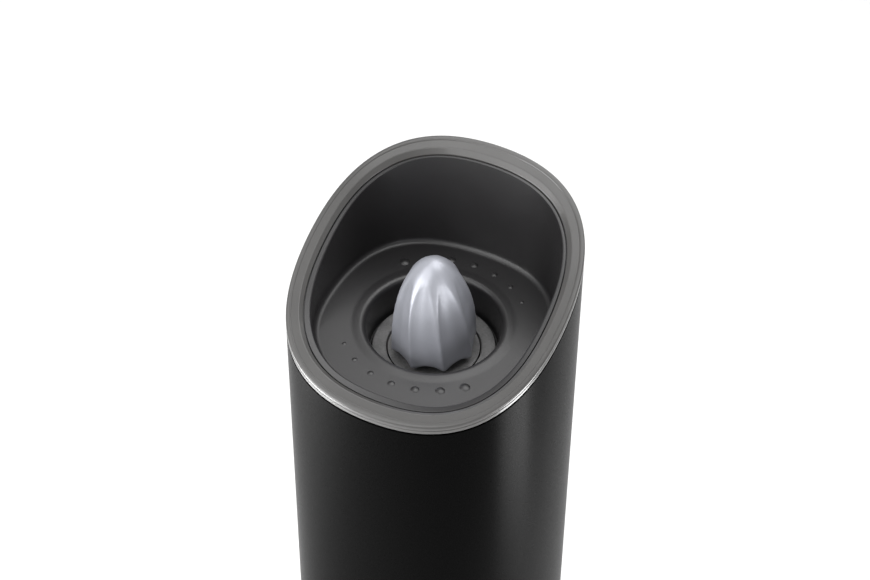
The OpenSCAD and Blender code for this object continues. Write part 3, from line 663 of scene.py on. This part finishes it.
@dataclass
class MillShape:
    """What all the sub-assemblies share, worked out from the CAD model's boxes."""

    slope_deg: float = 24.5
    floor_over_burr: float = 6.9 * MM
    around: int = 288
    section: Section = field(init=False)
    rim: RimPlane = field(init=False)
    floor: float = field(init=False)

    def __post_init__(self) -> None:
        """Reads the body's width, the rim's plane and the height of the mouth's floor."""
        low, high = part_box("rim_ring")
        half = (high.x - low.x) / 2
        self.section = Section(half)
        self.rim = RimPlane(self.slope_deg, high.z - math.tan(math.radians(self.slope_deg)) * half)
        self.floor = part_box("outer_burr")[1].z + self.floor_over_burr

    def at(self, angle: float, inset: float, height: float) -> Vector:
        """Gives a point of the body at a depth under its surface and a height."""
        r = self.section.radius(angle) - inset
        return Vector((r * math.cos(angle), r * math.sin(angle), height))

    def under_rim(self, angle: float, inset: float, drop: float) -> Vector:
        """Gives a point at a depth under the body's surface and a drop below the rim's plane."""
        flat = self.at(angle, inset, 0.0)
        flat.z = self.rim.height(flat.y) - drop
        return flat


@dataclass
class Head:
    """The head's outer parts: the sleeve, the rim's ring and the mouth's moulded insert."""

    shape: MillShape
    crisp: float = 0.1 * MM
    # the sleeve
    sleeve_wall: float = 1.2 * MM
    edge: float = 0.35 * MM
    seam: float = 0.4 * MM
    ledge_up: float = 1.2 * MM
    ledge_in: float = 3.2 * MM
    lap_in: float = 1.8 * MM
    under_ring: float = 0.3 * MM
    # the rim's ring
    rim_face: float = 2.0 * MM
    bead: float = 0.45 * MM
    bead_in: float = 1.0 * MM
    band_sink: float = 0.14 * MM
    band_start: float = 1.12 * MM
    skirt_out: float = 1.35 * MM
    skirt_in: float = 2.25 * MM
    skirt_drop: float = 5.0 * MM
    groove: float = 0.22 * MM
    groove_drop: float = 0.85 * MM
    band_end: float = 2.75 * MM
    chamfer_end: float = 3.65 * MM
    chamfer_drop: float = 0.85 * MM
    # the insert
    lip_in: float = 3.85 * MM
    lip_gap: float = 0.05 * MM
    lip_round: float = 0.55 * MM
    lip_wall: float = 0.6 * MM
    insert_out: float = 2.4 * MM
    floor_wall: float = 2.0 * MM
    throat_wall: float = 3.1 * MM
    least_wall: float = 0.3 * MM
    wall_in: float = 5.6 * MM
    draft: float = 0.052
    foot_fillet: float = 1.3 * MM
    throat_r: float = 13.9 * MM
    throat_top_r: float = 14.6 * MM
    throat_round: float = 2.2 * MM
    throat_depth: float = 7.9 * MM
    collar_rise: float = 0.4 * MM
    collar_wide: float = 3.0 * MM
    # the raised dots
    dot_circle: float = 20.0 * MM
    dot_small: float = 0.5 * MM
    dot_large: float = 1.15 * MM
    dot_rise: float = 0.3
    dot_count: int = 7
    dot_step_deg: float = 15.0
    dot_first_deg: float = -135.0
    dot_root: float = 0.12 * MM
    dot_sides: int = 28
    dot_rings: int = 8

    def sleeve(self, plastic: bpy.types.Material) -> bpy.types.Object:
        """Builds the sleeve, with its slanted top edge and the ledge inside its foot.

        Args:
            plastic: the black shell plastic.

        Returns:
            The piece.
        """
        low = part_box("head_sleeve")[0]
        foot, ledge_top = low.z + self.seam, low.z + self.ledge_up
        top_drop = self.rim_face + self.under_ring

        def cut(angle: float) -> list[Vector]:
            outer = self.shape.under_rim(angle, 0.0, top_drop).z
            inner = self.shape.under_rim(angle, self.sleeve_wall, top_drop).z
            corners = [
                Corner(0.0, foot, self.edge),
                Corner(0.0, outer, 1.2 * self.crisp),
                Corner(self.sleeve_wall, inner, self.crisp),
                Corner(self.sleeve_wall, ledge_top, 2 * self.crisp),
                Corner(self.ledge_in, ledge_top, self.crisp),
                Corner(self.ledge_in, low.z, self.crisp),
                Corner(self.lap_in, low.z, self.crisp),
                Corner(self.lap_in, foot, self.crisp),
            ]
            return [self.shape.at(angle, inset, z) for inset, z in rounded(corners)]

        piece = ring_mesh("sleeve", cut, self.shape.around)
        return install(piece, plastic, Body.HEAD, "black_shell", "head_sleeve")

    def ring(self, finish: bpy.types.Material) -> bpy.types.Object:
        """Builds the rim's ring: an outer bead over a groove, a flat band and an inner chamfer.

        Args:
            finish: the ring's grey finish.

        Returns:
            The piece.
        """
        groove, drop, crisp = self.groove, self.groove_drop, self.crisp
        corners = [
            Corner(0.0, -self.rim_face, 3 * crisp),
            Corner(0.0, -drop - groove, 1.2 * crisp),
            Corner(groove, -drop - groove / 2, 0.4 * crisp),
            Corner(0.0, -drop, 1.2 * crisp),
            Corner(0.0, 0.0, self.bead),
            Corner(self.bead_in, 0.0, 2 * crisp),
            Corner(self.band_start, -self.band_sink, 0.5 * crisp),
            Corner(self.band_start + 1.8 * crisp, -self.band_sink, 0.5 * crisp),
            Corner(self.band_end, -self.band_sink, 3.5 * crisp),
            Corner(self.chamfer_end, -self.chamfer_drop, 1.8 * crisp),
            Corner(self.chamfer_end, -self.rim_face, crisp),
            Corner(self.skirt_in, -self.rim_face, crisp),
            Corner(self.skirt_in, -self.skirt_drop, 1.5 * crisp),
            Corner(self.skirt_out, -self.skirt_drop, 1.5 * crisp),
            Corner(self.skirt_out, -self.rim_face, crisp),
        ]
        outline = rounded(corners, steps=4, hold=0.08 * MM)

        def cut(angle: float) -> list[Vector]:
            return [self.shape.under_rim(angle, inset, -up) for inset, up in outline]

        piece = ring_mesh("rim", cut, self.shape.around)
        return install(piece, finish, Body.HEAD, "rim_grey", "rim_ring")

    def insert(self, plastic: bpy.types.Material) -> bpy.types.Object:
        """Builds the mouth's insert: throat, floor, wall and the rounded lip inside the ring.

        Args:
            plastic: the insert's grey plastic.

        Returns:
            The piece.
        """
        floor, crisp = self.shape.floor, self.crisp
        underside, throat_foot = floor - self.floor_wall, floor - self.throat_depth
        lip_drop = self.chamfer_drop + self.lip_gap

        def cut(angle: float) -> list[Vector]:
            surface = self.shape.section.radius(angle)
            top = self.shape.under_rim(angle, self.lip_in, lip_drop).z
            height = max(top - floor, self.least_wall)
            wall_top = self.wall_in - self.draft * height
            most_round = 0.4 * height
            throat = surface - self.throat_top_r
            throat_back = surface - self.throat_r - self.throat_wall
            corners = [
                Corner(surface - self.throat_r, throat_foot, crisp),
                Corner(throat, floor + self.collar_rise, self.throat_round),
                Corner(throat - self.collar_wide, floor, 2 * self.collar_wide),
                Corner(self.wall_in, floor, min(self.foot_fillet, most_round)),
                Corner(wall_top, top, min(self.lip_round, most_round)),
                Corner(self.lip_in, top, 1.5 * crisp),
                Corner(self.lip_in, top - self.lip_wall, 0.5 * crisp),
                Corner(self.insert_out, top - self.lip_wall, crisp),
                Corner(self.insert_out, underside, crisp),
                Corner(throat_back, underside, crisp),
                Corner(throat_back, throat_foot, crisp),
            ]
            return [self.shape.at(angle, inset, z) for inset, z in rounded(corners, steps=6)]

        piece = ring_mesh("insert", cut, self.shape.around)
        return install(piece, plastic, Body.HEAD, "insert_plastic", "mouth_insert")

    def dots(self, plastic: bpy.types.Material) -> bpy.types.Object:
        """Builds the two rows of raised dots, which grow from fine to coarse.

        Args:
            plastic: the insert's grey plastic.

        Returns:
            The piece.
        """
        sides, rings = self.dot_sides, self.dot_rings
        points: list[Vector] = []
        faces: list[tuple[int, ...]] = []
        for side in (0, 180):
            for i in range(self.dot_count):
                share = i / (self.dot_count - 1)
                ball = self.dot_small + (self.dot_large - self.dot_small) * share
                angle = math.radians(self.dot_first_deg + side + i * self.dot_step_deg)
                centre = Vector((math.cos(angle), math.sin(angle), 0)) * self.dot_circle
                centre.z = self.shape.floor
                start = len(points)
                for k in range(rings):
                    tilt = math.pi / 2 * k / rings
                    r, z = ball * math.cos(tilt), self.dot_rise * ball * math.sin(tilt) ** 2
                    root = self.dot_root if k == 0 else 0.0
                    for j in range(sides):
                        turn = TURN * j / sides
                        flat = Vector((math.cos(turn), math.sin(turn), 0.0)) * (r + root)
                        points.append(centre + flat + Vector((0.0, 0.0, z - root)))
                points.append(centre + Vector((0, 0, self.dot_rise * ball)))
                tip = len(points) - 1
                for k in range(rings - 1):
                    for j in range(sides):
                        a, b = start + k * sides, start + (k + 1) * sides
                        n = (j + 1) % sides
                        faces.append((a + j, a + n, b + n, b + j))
                last = start + (rings - 1) * sides
                faces.extend((last + j, last + (j + 1) % sides, tip) for j in range(sides))
                faces.append(tuple(start + j for j in reversed(range(sides))))
        piece = finished_mesh("dots", points, faces)
        return install(piece, plastic, Body.HEAD, "insert_plastic")


@dataclass
class Knob:
    """The fluted bullet-shaped knob that sets how coarse the mill grinds."""

    ribs: int = 8
    flute: float = 0.8 * MM
    rib_power: float = 3.2
    first_deg: float = -4.0
    twist_deg: float = -18.0
    flute_top: float = 0.87
    fade_power: float = 3.5
    flute_soft: float = 0.05 * MM
    bullet_powers: Point2 = (2.1, 0.52)
    scallop: float = 0.9 * MM
    foot_share: float = 0.8
    roll: float = 0.5 * MM
    lift: float = 0.4 * MM
    wall: float = 2.3 * MM
    hollow: float = 3.4 * MM
    hollow_draft: float = 0.3 * MM
    tip_r: float = 0.02 * MM
    per_rib: int = 20
    rings: int = 72

    def wave(self, angle: float, share: float) -> float:
        """Gives 1 on a rib and 0 in the middle of a flute, with a narrow rib."""
        lean = math.radians(self.first_deg + self.twist_deg * share)
        turn = ((angle - lean) * self.ribs / TURN) % 1.0
        off = abs(turn - 0.5) * 2
        return off**self.rib_power

    def cut_depth(self, angle: float, share: float) -> float:
        """Gives how deep the flutes cut at an angle and a share of the knob's height."""
        fade = 1 - (share / self.flute_top) ** self.fade_power
        raw = self.flute * (fade - self.wave(angle, share))
        return 0.5 * (raw + math.hypot(raw, self.flute_soft))

    def build(self, plating: bpy.types.Material) -> bpy.types.Object:
        """Builds the knob's outer skin, its scalloped lower edge and its hollow underside.

        Args:
            plating: the knob's plating.

        Returns:
            The piece.
        """
        low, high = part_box("adjuster_knob")
        radius = (high.x - low.x) / 2 / math.cos(math.radians(self.first_deg))
        foot, top = low.z + self.lift, high.z
        around = self.ribs * self.per_rib
        angles = [TURN * j / around for j in range(around)]
        lean = math.radians(self.first_deg)
        points: list[Vector] = []

        def edge_z(angle: float) -> float:
            off = abs(((angle - lean) * self.ribs / TURN) % 1.0 - 0.5) * 2
            return foot + self.scallop * max(0.0, 1 - (off / self.foot_share) ** 2)

        inner = radius - self.wall
        for r in (0.5 * radius, inner - self.hollow_draft):
            for a in angles:
                points.append(Vector((r * math.cos(a), r * math.sin(a), foot + self.hollow)))
        for a in angles:
            points.append(Vector((inner * math.cos(a), inner * math.sin(a), edge_z(a))))
        fall, blunt = self.bullet_powers
        # The rings lie closer together towards the tip, and the last one stays just under it.
        crowd, last_share, flute_hold = 1.6, 0.9985, 1.6
        for k in range(self.rings):
            share = min(last_share, 1 - (1 - k / (self.rings - 1)) ** crowd)
            profile = max(0.0, 1 - share**fall) ** blunt
            for a in angles:
                z = edge_z(a) * (1 - share) + top * share
                rise = min(1.0, (z - edge_z(a)) / self.roll)
                tuck = self.roll * (1 - math.sqrt(max(0.0, 1 - (1 - rise) ** 2)))
                cut = self.cut_depth(a, share) * min(1.0, flute_hold * profile)
                r = max(self.tip_r, profile * radius - cut - tuck)
                points.append(Vector((r * math.cos(a), r * math.sin(a), z)))
        faces: list[tuple[int, ...]] = []
        for k in range(self.rings + 2):
            lower, upper = k * around, (k + 1) * around
            for j in range(around):
                n = (j + 1) % around
                faces.append((lower + j, lower + n, upper + n, upper + j))
        tip = len(points)
        points.append(Vector((0, 0, top)))
        last = (self.rings + 2) * around
        faces.extend((last + j, last + (j + 1) % around, tip) for j in range(around))
        faces.append(tuple(j for j in reversed(range(around))))
        piece = finished_mesh("knob", points, faces, crease_deg=60.0)
        return install(piece, plating, Body.KNOB, "knob_chrome", "adjuster_knob")


@dataclass
class Burr:
    """The outer burr's pale ring at the bottom of the throat."""

    edge: float = 0.25 * MM
    gap: float = 0.25 * MM
    wall: float = 3.3 * MM
    fine_in: float = 0.8 * MM
    fine_h: float = 4.0 * MM
    intake: float = 1.6 * MM
    foot_edge: float = 0.3 * MM
    around: int = 160

    def build(self, ceramic: bpy.types.Material) -> bpy.types.Object:
        """Builds the burr with its worn edges.

        Args:
            ceramic: the burr's ceramic.

        Returns:
            The piece.
        """
        low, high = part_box("outer_burr")
        outer = high.x - self.gap
        inner = high.x - self.wall
        corners = [
            Corner(outer, low.z, self.foot_edge),
            Corner(outer, high.z, 1.4 * self.edge),
            Corner(inner, high.z, self.edge),
            Corner(inner - self.fine_in, high.z - self.fine_h, 0.8 * self.edge),
            Corner(outer - self.intake, low.z, self.foot_edge),
        ]
        outline = rounded(corners)

        def cut(angle: float) -> list[Vector]:
            return [Vector((r * math.cos(angle), r * math.sin(angle), z)) for r, z in outline]

        piece = ring_mesh("outer_burr_ring", cut, self.around)
        return install(piece, ceramic, Body.HEAD, "burr_ceramic", "outer_burr")


@dataclass
class Base:
    """The motor base's outer shell, with the charging opening and the light's hole at its rear."""

    shape: MillShape
    wall: float = 1.8 * MM
    foot_edge: float = 0.7 * MM
    top_edge: float = 0.35 * MM
    crisp: float = 0.1 * MM
    opening_gap: float = 0.1 * MM
    opening_edge: float = 0.35 * MM
    opening_margin: float = 1.0 * MM
    opening_crease_deg: float = 35.0

    def shell(self, plastic: bpy.types.Material) -> bpy.types.Object:
        """Builds the shell and cuts the charging opening and the light's hole.

        Args:
            plastic: the black shell plastic.

        Returns:
            The piece.
        """
        low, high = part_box("base_shell")
        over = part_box("usb_socket")[1].z + self.opening_margin
        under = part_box("charge_light")[0].z - self.opening_margin
        outline = rounded(
            [
                Corner(0.0, low.z, self.foot_edge),
                Corner(0.0, under),
                Corner(0.0, over),
                Corner(0.0, high.z, self.top_edge),
                Corner(self.wall, high.z, self.crisp),
                Corner(self.wall, over),
                Corner(self.wall, under),
                Corner(self.wall, low.z, self.crisp),
            ]
        )

        def cut(angle: float) -> list[Vector]:
            return [self.shape.at(angle, inset, z) for inset, z in outline]

        piece = ring_mesh("shell", cut, self.shape.around)
        self.open_rear(piece, "usb_socket", round_hole=False)
        self.open_rear(piece, "charge_light", round_hole=True)
        return install(piece, plastic, Body.BASE, "black_shell", "base_shell")

    def open_rear(self, piece: bpy.types.Object, node: str, round_hole: bool) -> None:
        """Cuts an opening in the shell's rear wall round the CAD part that shows in it.

        Args:
            piece: the shell.
            node: the CAD part in the opening.
            round_hole: whether the opening is round, or else has four corners.
        """
        low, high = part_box(node)
        wide, tall = high.x - low.x + 2 * self.opening_gap, high.z - low.z + 2 * self.opening_gap
        middle = Vector(((low.x + high.x) / 2, self.shape.section.half_width, (low.z + high.z) / 2))
        cutter_mesh = bpy.data.meshes.new(node + "_cutter")
        shape = bmesh.new()
        if round_hole:
            r = wide / 2
            bmesh.ops.create_cone(shape, cap_ends=True, segments=32, radius1=r, radius2=r, depth=1.0)
        else:
            bmesh.ops.create_cube(shape, size=1.0)
            bmesh.ops.scale(shape, vec=(wide, tall, 1.0), verts=shape.verts)
            # The cube is 1 m tall here, and its other edges don't rise at all.
            upright = [e for e in shape.edges if abs((e.verts[0].co - e.verts[1].co).z) > 0.5]
            bmesh.ops.bevel(shape, geom=upright, offset=self.opening_edge, segments=4, affect="EDGES")
        bmesh.ops.scale(shape, vec=(1.0, 1.0, 4 * self.wall), verts=shape.verts)
        bmesh.ops.rotate(shape, matrix=Matrix.Rotation(math.pi / 2, 3, "X"), verts=shape.verts)
        bmesh.ops.translate(shape, vec=middle, verts=shape.verts)
        shape.to_mesh(cutter_mesh)
        shape.free()
        cutter = bpy.data.objects.new(node + "_cutter", cutter_mesh)
        bpy.context.scene.collection.objects.link(cutter)
        tool = piece.modifiers.new("opening", "BOOLEAN")
        tool.operation, tool.solver, tool.object = "DIFFERENCE", "EXACT", cutter
        bpy.context.view_layer.update()
        solid = piece.evaluated_get(bpy.context.evaluated_depsgraph_get())
        cut_mesh = bpy.data.meshes.new_from_object(solid)
        cut_mesh.set_sharp_from_angle(angle=math.radians(self.opening_crease_deg))
        piece.modifiers.clear()
        piece.data = cut_mesh
        bpy.data.objects.remove(cutter)


# ---------------------------------------------------------------- finishes


# Black ABS: deep black, with a dim soft highlight down each side.
BLACK_SHELL = MouldedPlastic("black_abs_shell", "#030303", 0.3, specular=0.02, grain_depth_mm=0.0015)
# Grey lacquer: a smooth clear coat that gives the rim its even, bright line.
RIM_GREY = MouldedPlastic("grey_lacquered_rim", "#4a4948", 0.34, grain_depth_mm=0.0, coat=0.5)
# Spark-eroded ABS: dark grey, with a broad dull sheen.
INSERT_GREY = MouldedPlastic("grey_abs_insert", "#252425", 0.36, specular=0.7, grain_depth_mm=0.004)
# Satin plating: soft grey highlights along the ribs.
KNOB_PLATING = PlatedPlastic("satin_plated_knob", "#b0b2ba", 0.4)
# Alumina: a matte, speckled grey.
BURR_CERAMIC = FiredCeramic("alumina_burr", "#6e6d6d")
# Glass-filled nylon: dull dark grey with a coarser grain.
NYLON = MouldedPlastic("glass_filled_nylon", "#2a2a2b", 0.55, grain_depth_mm=0.01)
# Acetal: slightly yellow white with a waxy gloss.
ACETAL = MouldedPlastic("acetal_gears", "#e2ded2", 0.4)
# Plain nylon: a cooler white than the gears.
WHITE_NYLON = MouldedPlastic("white_nylon_spacers", "#e6e6e2", 0.45)
# Turned steel: bright, with fine lathe rings.
STEEL = TurnedMetal("turned_steel", "#c4c3c0", 0.28)
# Sintered steel: duller and rougher, with coarse rings.
SINTERED = TurnedMetal("sintered_steel", "#8f8f8e", 0.5, ring_mm=0.4)
# Oil-soaked bronze: brown and satin.
BRONZE = TurnedMetal("oiled_bronze", "#b98a55", 0.38)
# Cut brass: yellow and bright.
BRASS = TurnedMetal("cut_brass", "#d8b568", 0.25)
# Nickel plate: warm silver.
NICKEL = TurnedMetal("nickel_plate", "#d5cdb8", 0.3)
# Ferrite: dark, matte and speckled.
FERRITE = FiredCeramic("sintered_ferrite", "#3a3a3c")
# Lacquered wire: orange bands, with painted shade in the gaps between turns.
COPPER = WoundCopper("lacquered_copper", "#b5683a", 0.3)
# Silicone: flat black with a grey bloom.
RUBBER = SiliconeRubber("silicone_rubber", "#141414", 0.8)
# Smoked acrylic: clear grey with sharp highlights.
ACRYLIC = SmokedAcrylic("smoked_acrylic", "#9fa3a8", 0.08)
# Frosted acrylic: milky and half clear.
LENS = SmokedAcrylic("frosted_lens", "#dfe8df", 0.35, clearness=0.5)
# PVC sleeve: saturated red with a soft gloss.
SLEEVE_RED = MouldedPlastic("wire_sleeve", "#a3170f", 0.4)
# Shrunk PVC film: shiny blue, faintly wrinkled.
CELL_FILM = MouldedPlastic("shrink_film", "#2a5d94", 0.25, grain_mm=2.5, grain_depth_mm=0.02)
# Solder mask: glossy green with paler tracks.
BOARD = CircuitBoard("solder_mask", "#0c4a26", 0.25)
# Moulded epoxy: flat charcoal.
CHIP = MouldedPlastic("chip_epoxy", "#1b1b1c", 0.55)

BY_SLOT = {
    "steel": STEEL,
    "sintered_steel": SINTERED,
    "black_nylon": NYLON,
    "bronze": BRONZE,
    "brass_gear": BRASS,
    "clear_plastic": ACRYLIC,
    "black_rubber": RUBBER,
    "gear_plastic": ACETAL,
    "magnet_ferrite": FERRITE,
    "copper_winding": COPPER,
    "wire_red": SLEEVE_RED,
    "cell_wrap": CELL_FILM,
    "contact_plate": NICKEL,
    "board_green": BOARD,
    "chip_black": CHIP,
    "white_nylon": WHITE_NYLON,
    "light_lens": LENS,
    "black_shell": BLACK_SHELL,
    "rim_grey": RIM_GREY,
    "insert_plastic": INSERT_GREY,
    "knob_chrome": KNOB_PLATING,
    "burr_ceramic": BURR_CERAMIC,
}


def dress_frame() -> dict[str, bpy.types.Material]:
    """Gives every CAD part the material of its slot.

    Returns:
        The materials by slot.
    """
    materials = {slot: finish.material() for slot, finish in BY_SLOT.items()}
    for row in frame["record"]["subparts"]:
        node = frame["nodes"][row["node"]]
        node.data.materials.clear()
        node.data.materials.append(materials[row["material_slot"]])
        log.info("%s: %s", row["node"], row["material_slot"])
    return materials


# ---------------------------------------------------------------- stage


@dataclass(frozen=True)
class SoftBox:
    """One soft light: its name, its place and size in metres, and its power in watts."""

    name: str
    place: Vector
    width: float
    height: float
    power: float

    def hang(self, aim: Vector) -> None:
        """Places the light.

        Args:
            aim: the point that it faces.
        """
        data = bpy.data.lights.new(self.name, "AREA")
        data.shape, data.size, data.size_y = "RECTANGLE", self.width, self.height
        data.energy = self.power
        made = bpy.data.objects.new(self.name, data)
        made.location = self.place
        made.rotation_euler = (aim - self.place).to_track_quat("-Z", "Y").to_euler()
        bpy.context.scene.collection.objects.link(made)


@dataclass
class Studio:
    """The floor, the soft lights and the camera."""

    azimuth_deg: float = 26.0
    elevation_deg: float = 44.0
    roll_deg: float = 0.5
    distance: float = 460.8 * MM
    side: float = 0.157 * MM
    rise: float = 6.97 * MM
    sensor_mm: float = 36.0
    focal_share: float = 2160 / 870
    clip: Point2 = (0.01, 20.0)
    floor_half: float = 6.0
    floor_colour: str = "#f4f4f4"
    floor_roughness: float = 0.95
    sky_colour: str = "#ffffff"
    sky_strength: float = 0.42
    lights: list[SoftBox] = field(
        default_factory=lambda: [
            SoftBox("top_softbox", Vector((0.05, 0.35, 1.15)), 1.0, 1.0, 7.8),
            SoftBox("key_softbox", Vector((-0.4, -0.5, 0.8)), 0.8, 0.8, 3.8),
            SoftBox("left_softbox", Vector((-0.55, -0.65, 0.3)), 0.4, 0.6, 4.5),
            SoftBox("right_softbox", Vector((0.75, -0.45, 0.3)), 0.3, 0.6, 2.4),
            SoftBox("low_left_softbox", Vector((-0.2, -0.14, 0.04)), 0.2, 0.08, 0.7),
            SoftBox("low_right_softbox", Vector((0.2, 0.02, 0.04)), 0.1, 0.1, 0.35),
        ]
    )

    def camera(self, aim: Vector) -> None:
        """Places the camera.

        Args:
            aim: the point on the mill's axis that the view is measured from.
        """
        az, el = math.radians(self.azimuth_deg), math.radians(self.elevation_deg)
        back = Vector((math.sin(az) * math.cos(el), -math.cos(az) * math.cos(el), math.sin(el)))
        right = Vector((math.cos(az), math.sin(az), 0.0))
        up = back.cross(right)
        data = bpy.data.cameras.new("camera")
        data.lens, data.sensor_width = self.sensor_mm * self.focal_share, self.sensor_mm
        data.clip_start, data.clip_end = self.clip
        camera = bpy.data.objects.new("camera", data)
        roll = Matrix.Rotation(math.radians(self.roll_deg), 3, "Z")
        turn = Matrix((right, up, back)).transposed() @ roll
        place = aim + right * self.side + up * self.rise + back * self.distance
        camera.matrix_world = Matrix.Translation(place) @ turn.to_4x4()
        bpy.context.scene.collection.objects.link(camera)
        bpy.context.scene.camera = camera

    def floor(self) -> None:
        """Lays the pale floor that the mill stands on."""
        signs = ((-1, -1), (1, -1), (1, 1), (-1, 1))
        corners = [Vector((x * self.floor_half, y * self.floor_half, 0.0)) for x, y in signs]
        made = finished_mesh("studio_floor", corners, [(0, 1, 2, 3)])
        material = bpy.data.materials.new("studio_paper")
        material.use_nodes = True
        shader = material.node_tree.nodes["Principled BSDF"]
        shader.inputs["Base Color"].default_value = linear(self.floor_colour)
        shader.inputs["Roughness"].default_value = self.floor_roughness
        made.data.materials.append(material)

    def build(self, aim: Vector) -> None:
        """Builds the whole stage round a point.

        Args:
            aim: the point on the axis at the height of the mouth's floor.
        """
        self.camera(aim)
        self.floor()
        for light in self.lights:
            light.hang(aim)
        world = bpy.data.worlds.new("studio_air")
        world.use_nodes = True
        sky = world.node_tree.nodes["Background"]
        sky.inputs["Color"].default_value = linear(self.sky_colour)
        sky.inputs["Strength"].default_value = self.sky_strength
        bpy.context.scene.world = world
        settings = bpy.context.scene.view_settings
        settings.view_transform, settings.look = "Standard", "None"


def main() -> None:
    """Builds the mill's looks and the stage, and logs each piece."""
    logging.basicConfig(level=logging.INFO, format="%(name)s: %(message)s")
    shape = MillShape()
    materials = dress_frame()
    head = Head(shape)
    head.sleeve(materials["black_shell"])
    head.ring(materials["rim_grey"])
    head.insert(materials["insert_plastic"])
    head.dots(materials["insert_plastic"])
    Knob().build(materials["knob_chrome"])
    Burr().build(materials["burr_ceramic"])
    Base(shape).shell(materials["black_shell"])
    Studio().build(Vector((0.0, 0.0, shape.floor)))


if __name__ == "__main__":
    main()
